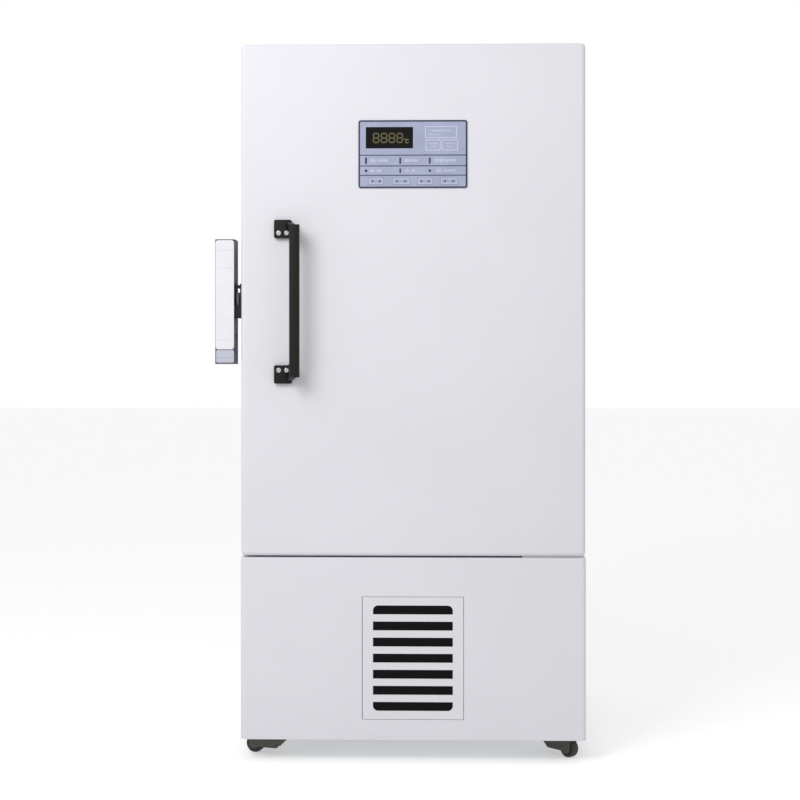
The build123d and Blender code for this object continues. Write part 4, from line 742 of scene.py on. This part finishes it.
    def _unit(self) -> bpy.types.Object:
        """The small unit mark right of the figures: a ring and a frame that is open on its right."""
        depth = self._film_span(self.window_front)
        ring = Bench.frame_plate("unit_ring", self.ring_x, depth, self.ring_z, self.ring_corner,
                                 self.ring_line)
        arc = Bench.frame_plate("unit_letter", self.letter_x, depth, self.letter_z, self.letter_corner,
                                self.letter_line)
        right = self.letter_x[1] - self.letter_line
        level = sum(self.letter_z) / 2
        with Bench.editing(arc):
            Bench.choose(arc, "FACE", lambda middle, way: (
                middle.x > right and abs(middle.z - level) < self.letter_opening))
            bpy.ops.mesh.delete(type="FACE")
        return Bench.join("display_unit", [ring, arc])

    def _key_outline(self, key: str) -> bpy.types.Object:
        """The pale outline printed on a key.

        Args:
            key: The key's CAD node and body.

        Returns:
            The outline.
        """
        return Bench.frame_plate(f"{key}_outline", span(key, X, 2 * self.key_rim),
                                 self._film_span(self.key_front), span(key, Z, self.key_rim),
                                 self.key_corner, self.key_line)

    def _key_marks(self, key: str) -> bpy.types.Object:
        """Two small dark bars on a key.

        Args:
            key: The key's CAD node and body.

        Returns:
            The joined bars.
        """
        left, right = span(key, X, self.key_rim)
        level = sum(span(key, Z)) / 2
        bars = []
        for side in (-1, 1):
            middle = (left + right) / 2 + side * (right - left) * self.mark_reach
            bars.append(Bench.plate(f"{key}_mark_{side}", (middle - self.mark_half, middle + self.mark_half),
                                    self._film_span(self.key_front),
                                    (level - self.mark_half, level + self.mark_half),
                                    self.label_corner, self.ink_edge, 3))
        return Bench.join(f"{key}_marks", bars)


@dataclass
class LatchCover:
    """The moulded cover on the front of the latch lever."""

    # The cover stops short of the lever's edges, so the dark body shows round it as a rim. That rim is
    # partly painted shade.
    left: float = span("latch_lever", X)[0] + 2.25
    right: float = -451.6
    front: float = span("latch_lever", Y)[0] - 1.4
    seat: float = span("latch_lever", Y)[0] + 0.2
    top: float = span("latch_lever", Z)[1] - 2.6
    split: Span = (1118.0, 1120.0)
    bottom: float = span("latch_lever", Z)[0] + 4.2
    corner: float = 8.0
    rim: float = 0.7
    foot_corner: float = 5.0
    foot_rim: float = 0.5
    foot_inset: float = 1.6
    foot_step: float = 0.4
    groove_levels: tuple[float, ...] = (1388.7, 1341.0, 1144.0)
    lower_groove: float = 1097.0
    groove_width: float = 1.8
    groove_depth: float = 0.9
    groove_slope: float = 0.35
    groove_facing: float = 0.9
    front_band: float = 1.0

    def build(self) -> None:
        """Builds the two halves of the cover."""
        upper = Bench.plate("latch_cover", (self.left, self.right), (self.front, self.seat),
                            (self.split[1], self.top), self.corner, self.rim)
        self._cut_grooves(upper, self.groove_levels)
        place(upper, LEVER_PAINT, "latch")
        lower = Bench.plate("latch_cover_foot", (self.left + self.foot_inset, self.right),
                            (self.front + self.foot_step, self.seat), (self.bottom, self.split[0]),
                            self.foot_corner, self.foot_rim)
        self._cut_grooves(lower, (self.lower_groove,))
        place(lower, LEVER_TRIM, "latch")

    def _cut_grooves(self, piece: bpy.types.Object, levels: Iterable[float]) -> None:
        """Cuts level grooves across the front of a cover.

        Args:
            piece: The cover.
            levels: Heights of the grooves, mm.
        """
        half = self.groove_width / 2
        with Bench.editing(piece):
            for level in levels:
                for z in (level - half, level + half):
                    bpy.ops.mesh.select_all(action="SELECT")
                    bpy.ops.mesh.bisect(plane_co=(0, 0, z * MM), plane_no=(0, 0, 1))
                Bench.choose(piece, "FACE", lambda middle, way: (
                    way.y < -self.groove_facing and abs(middle.z - level) < half
                    and middle.y < self.front + self.front_band))
                bpy.ops.mesh.inset(thickness=self.groove_slope * MM)
                bpy.ops.transform.translate(value=(0, self.groove_depth * MM, 0))


@dataclass
class Gasket:
    """The hollow bellows seal on the inner side of the door."""

    door_face: float = span("door_gasket", Y)[0]
    width: float = 46.0
    corner: float = 20.0
    corner_steps: int = 8
    fold_radius: float = 0.5
    profile: tuple[Span, ...] = (
        (3.0, 0.0), (43.0, 0.0), (43.0, 2.6), (37.5, 4.2), (44.5, 6.6), (44.5, 8.2), (38.5, 10.2),
        (45.5, 12.2), (45.0, 13.6), (24.0, 13.0), (1.0, 13.6), (0.5, 12.2), (7.5, 10.2), (1.5, 8.2),
        (1.5, 6.6), (8.5, 4.2), (3.0, 2.6))

    def build(self) -> None:
        """Bridges one rounded loop after another round the door opening."""
        loops = [self._loop(index, out, back) for index, (out, back) in enumerate(self.profile)]
        ring = Bench.join("door_gasket_bellows", loops)
        count = len(ring.data.vertices) // len(self.profile)
        starts = [index * count for index in range(len(self.profile))]
        for first, second in zip(starts, starts[1:] + starts[:1]):
            self._bridge(ring, (first, second), count)
        with Bench.editing(ring):
            bpy.ops.mesh.select_all(action="SELECT")
            bpy.ops.mesh.normals_make_consistent(inside=False)
        Bench.modify(ring, "BEVEL", width=self.fold_radius * MM, segments=2, limit_method="ANGLE")
        Bench.smooth(ring, 40.0)
        place(ring, GREY_SILICONE, "door", "door_gasket")

    def _loop(self, index: int, out: float, back: float) -> bpy.types.Object:
        """One rounded loop of edges.

        Args:
            index: Place of the loop in the profile.
            out: Distance out from the ring's inner rim, mm.
            back: Distance back from the door's face, mm.

        Returns:
            The loop, without faces.
        """
        inset = self.width - out
        y = self.door_face + back
        loop = Bench.block(f"loop_{index}", span("door_gasket", X, inset), (y, y + 1.0),
                           span("door_gasket", Z, inset))
        with Bench.editing(loop, "EDGE"):
            Bench.choose(loop, "EDGE", lambda middle, way: abs(way.y) > ALIGNED)
            bpy.ops.mesh.bevel(offset=(self.corner + out) * MM, segments=self.corner_steps, affect="EDGES")
            Bench.choose(loop, "FACE", lambda middle, way: way.y < 0.9)
            bpy.ops.mesh.delete(type="FACE")
            bpy.ops.mesh.select_all(action="SELECT")
            bpy.ops.mesh.delete(type="ONLY_FACE")
            bpy.ops.mesh.select_all(action="SELECT")
            bpy.ops.transform.translate(value=(0, -MM, 0))
        return loop

    def _bridge(self, ring: bpy.types.Object, starts: tuple[int, int], count: int) -> None:
        """Bridges two loops.

        Args:
            ring: The piece that holds all the loops.
            starts: The first vertex of each of the two loops.
            count: How many vertices a loop has.
        """
        with Bench.editing(ring, "EDGE"):
            mesh = bmesh.from_edit_mesh(ring.data)
            wanted = {index for start in starts for index in range(start, start + count)}
            for edge in mesh.edges:
                ends = [v.index for v in edge.verts]
                same = any(start <= ends[0] < start + count and start <= ends[1] < start + count
                           for start in starts)
                if same and wanted.issuperset(ends):
                    edge.select_set(True)
            bmesh.update_edit_mesh(ring.data)
            bpy.ops.mesh.bridge_edge_loops()


@dataclass
class HandleScrews:
    """Four pan head screws with a cross recess that hold the handle."""

    x_places: tuple[float, ...] = (-327.55, -305.95)
    z_places: tuple[float, ...] = (1434.7, 1063.3)
    seat: float = -437.5
    radius: float = 7.0
    height: float = 3.5
    crown_inset: float = 1.6
    crown_radius: float = 1.5
    crown_band: float = 1.0
    cutter_lead: float = 1.0
    slot_width: float = 1.7
    slot_reach: float = 4.0
    slot_depth: float = 1.8

    def build(self) -> None:
        """Models one head and repeats it."""
        heads = [self._head(x, z) for x in self.x_places for z in self.z_places]
        place(Bench.join("handle_screw_heads", heads), BRIGHT_SCREW, "door", "handle_screws")

    def _head(self, x: float, z: float) -> bpy.types.Object:
        """One domed head with a cross cut into it.

        Args:
            x: Place across, mm.
            z: Height, mm.

        Returns:
            The head.
        """
        front = self.seat - self.height
        rim = self.radius - self.crown_band
        head = Bench.disc(f"head_{x:.0f}_{z:.0f}", (x, self.seat - self.height / 2, z), self.radius,
                          self.height)
        with Bench.editing(head):
            Bench.choose(head, "FACE", lambda middle, way: way.y < -ALIGNED)
            bpy.ops.mesh.inset(thickness=self.crown_inset * MM)
            Bench.choose(head, "EDGE", lambda middle, way: (
                abs(middle.y - front) < TOUCH and Vector((middle.x - x, middle.z - z)).length > rim))
            bpy.ops.mesh.bevel(offset=self.crown_radius * MM, segments=4, affect="EDGES")
        for wide, tall in ((self.slot_reach, self.slot_width / 2), (self.slot_width / 2, self.slot_reach)):
            cutter = Bench.block("cutter", (x - wide, x + wide),
                                 (front - self.cutter_lead, front + self.slot_depth), (z - tall, z + tall))
            Bench.modify(head, "BOOLEAN", operation="DIFFERENCE", object=cutter, solver="EXACT")
            bpy.data.objects.remove(cutter)
        Bench.smooth(head)
        return head


# Studio


@dataclass
class Studio:
    """The pale floor, the soft lights and the camera at the photograph's angle."""

    camera_place: Point = (120.25, -4491.5, 1089.0)
    yaw_degrees: float = 1.2
    lens: float = 67.5
    shift: Span = (-0.016, -0.049)
    floor_size: float = 60.0
    floor_colour: Colour = (0.86, 0.86, 0.86)
    floor_rough: float = 0.9
    floor_mirror: float = 0.1
    floor_glow: float = 0.4
    world_level: float = 0.6
    lamps: tuple[tuple[str, Point, Point, float, float], ...] = (
        ("key_light", (-1500.0, -2700.0, 2800.0), (-100.0, -430.0, 1500.0), 1.6, 47.0),
        ("fill_light", (2600.0, -2600.0, 2200.0), (0.0, -430.0, 1200.0), 2.4, 6.0))

    def build(self) -> None:
        """Sets up the whole studio."""
        self._world()
        self._floor()
        for name, place_at, aim, size, power in self.lamps:
            self._lamp(name, place_at, aim, size, power)
        self._camera()
        bpy.context.scene.view_settings.view_transform = "Standard"

    def _seen(self, tree: bpy.types.NodeTree) -> bpy.types.NodeSocket:
        """Adds nodes that are 1 on camera, glossy and transmission rays.

        Args:
            tree: The node tree to add them to.

        Returns:
            The socket that carries the sum.
        """
        path = tree.nodes.new("ShaderNodeLightPath")
        total = path.outputs["Is Camera Ray"]
        for ray in ("Is Glossy Ray", "Is Transmission Ray"):
            either = tree.nodes.new("ShaderNodeMath")
            either.operation = "MAXIMUM"
            tree.links.new(total, either.inputs[0])
            tree.links.new(path.outputs[ray], either.inputs[1])
            total = either.outputs[0]
        return total

    def _world(self) -> None:
        """A plain white world that lights at its own level and looks white."""
        world = bpy.data.worlds.new("studio_world")
        bpy.context.scene.world = world
        world.use_nodes = True
        tree = world.node_tree
        lit = tree.nodes["Background"]
        lit.inputs["Color"].default_value = WHITE
        level = tree.nodes.new("ShaderNodeMapRange")
        level.inputs["To Min"].default_value = self.world_level
        level.inputs["To Max"].default_value = 1.0
        tree.links.new(self._seen(tree), level.inputs["Value"])
        tree.links.new(level.outputs["Result"], lit.inputs["Strength"])

    def _floor(self) -> None:
        """A pale floor that keeps the object's shadow."""
        Bench.clear()
        bpy.ops.mesh.primitive_plane_add(size=self.floor_size, location=(0, 0, 0))
        floor = bpy.context.object
        floor.name = "floor"
        material = bpy.data.materials.new("pale_floor")
        material.use_nodes = True
        tree = material.node_tree
        shader = tree.nodes["Principled BSDF"]
        shader.inputs["Base Color"].default_value = (*self.floor_colour, 1.0)
        shader.inputs["Roughness"].default_value = self.floor_rough
        shader.inputs["Specular IOR Level"].default_value = self.floor_mirror
        shader.inputs["Emission Color"].default_value = WHITE
        level = tree.nodes.new("ShaderNodeMapRange")
        level.inputs["To Max"].default_value = self.floor_glow
        tree.links.new(self._seen(tree), level.inputs["Value"])
        tree.links.new(level.outputs["Result"], shader.inputs["Emission Strength"])
        floor.data.materials.append(material)

    def _lamp(self, name: str, place_at: Point, aim: Point, size: float, power: float) -> None:
        """One soft square light that looks at a point.

        Args:
            name: Name of the light.
            place_at: Where it stands, mm.
            aim: The point that it looks at, mm.
            size: Side of the square, m.
            power: Power, W.
        """
        light = bpy.data.lights.new(name, "AREA")
        light.size = size
        light.energy = power
        lamp = bpy.data.objects.new(name, light)
        bpy.context.scene.collection.objects.link(lamp)
        lamp.location = Vector(place_at) * MM
        lamp.rotation_euler = (Vector(aim) * MM - lamp.location).to_track_quat("-Z", "Y").to_euler()

    def _camera(self) -> None:
        """The camera, level, as the photograph was taken."""
        camera = bpy.data.objects.new("camera", bpy.data.cameras.new("camera"))
        bpy.context.scene.collection.objects.link(camera)
        camera.location = Vector(self.camera_place) * MM
        camera.rotation_euler = (math.pi / 2, 0.0, math.radians(self.yaw_degrees))
        camera.data.lens = self.lens
        camera.data.shift_x, camera.data.shift_y = self.shift
        bpy.context.scene.camera = camera


def dress_frame() -> None:
    """Gives every CAD node its finish, and stops if one has none."""
    for finish, names in NODE_FINISHES.items():
        for name in names:
            finish.dress(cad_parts[name])
    named = {name for names in NODE_FINISHES.values() for name in names}
    bare = sorted(set(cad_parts) - named)
    if bare:
        raise ValueError(f"CAD nodes without a finish: {bare}")
    LOG.info("%d CAD nodes dressed", len(named))


def main() -> None:
    logging.basicConfig(level=logging.INFO, format="%(name)s: %(message)s")
    dress_frame()
    for assembly in (Studio(), ControlPanel(), LatchCover(), Gasket(), HandleScrews()):
        assembly.build()
        LOG.info("%s built", type(assembly).__name__)


if __name__ == "__main__":
    main()
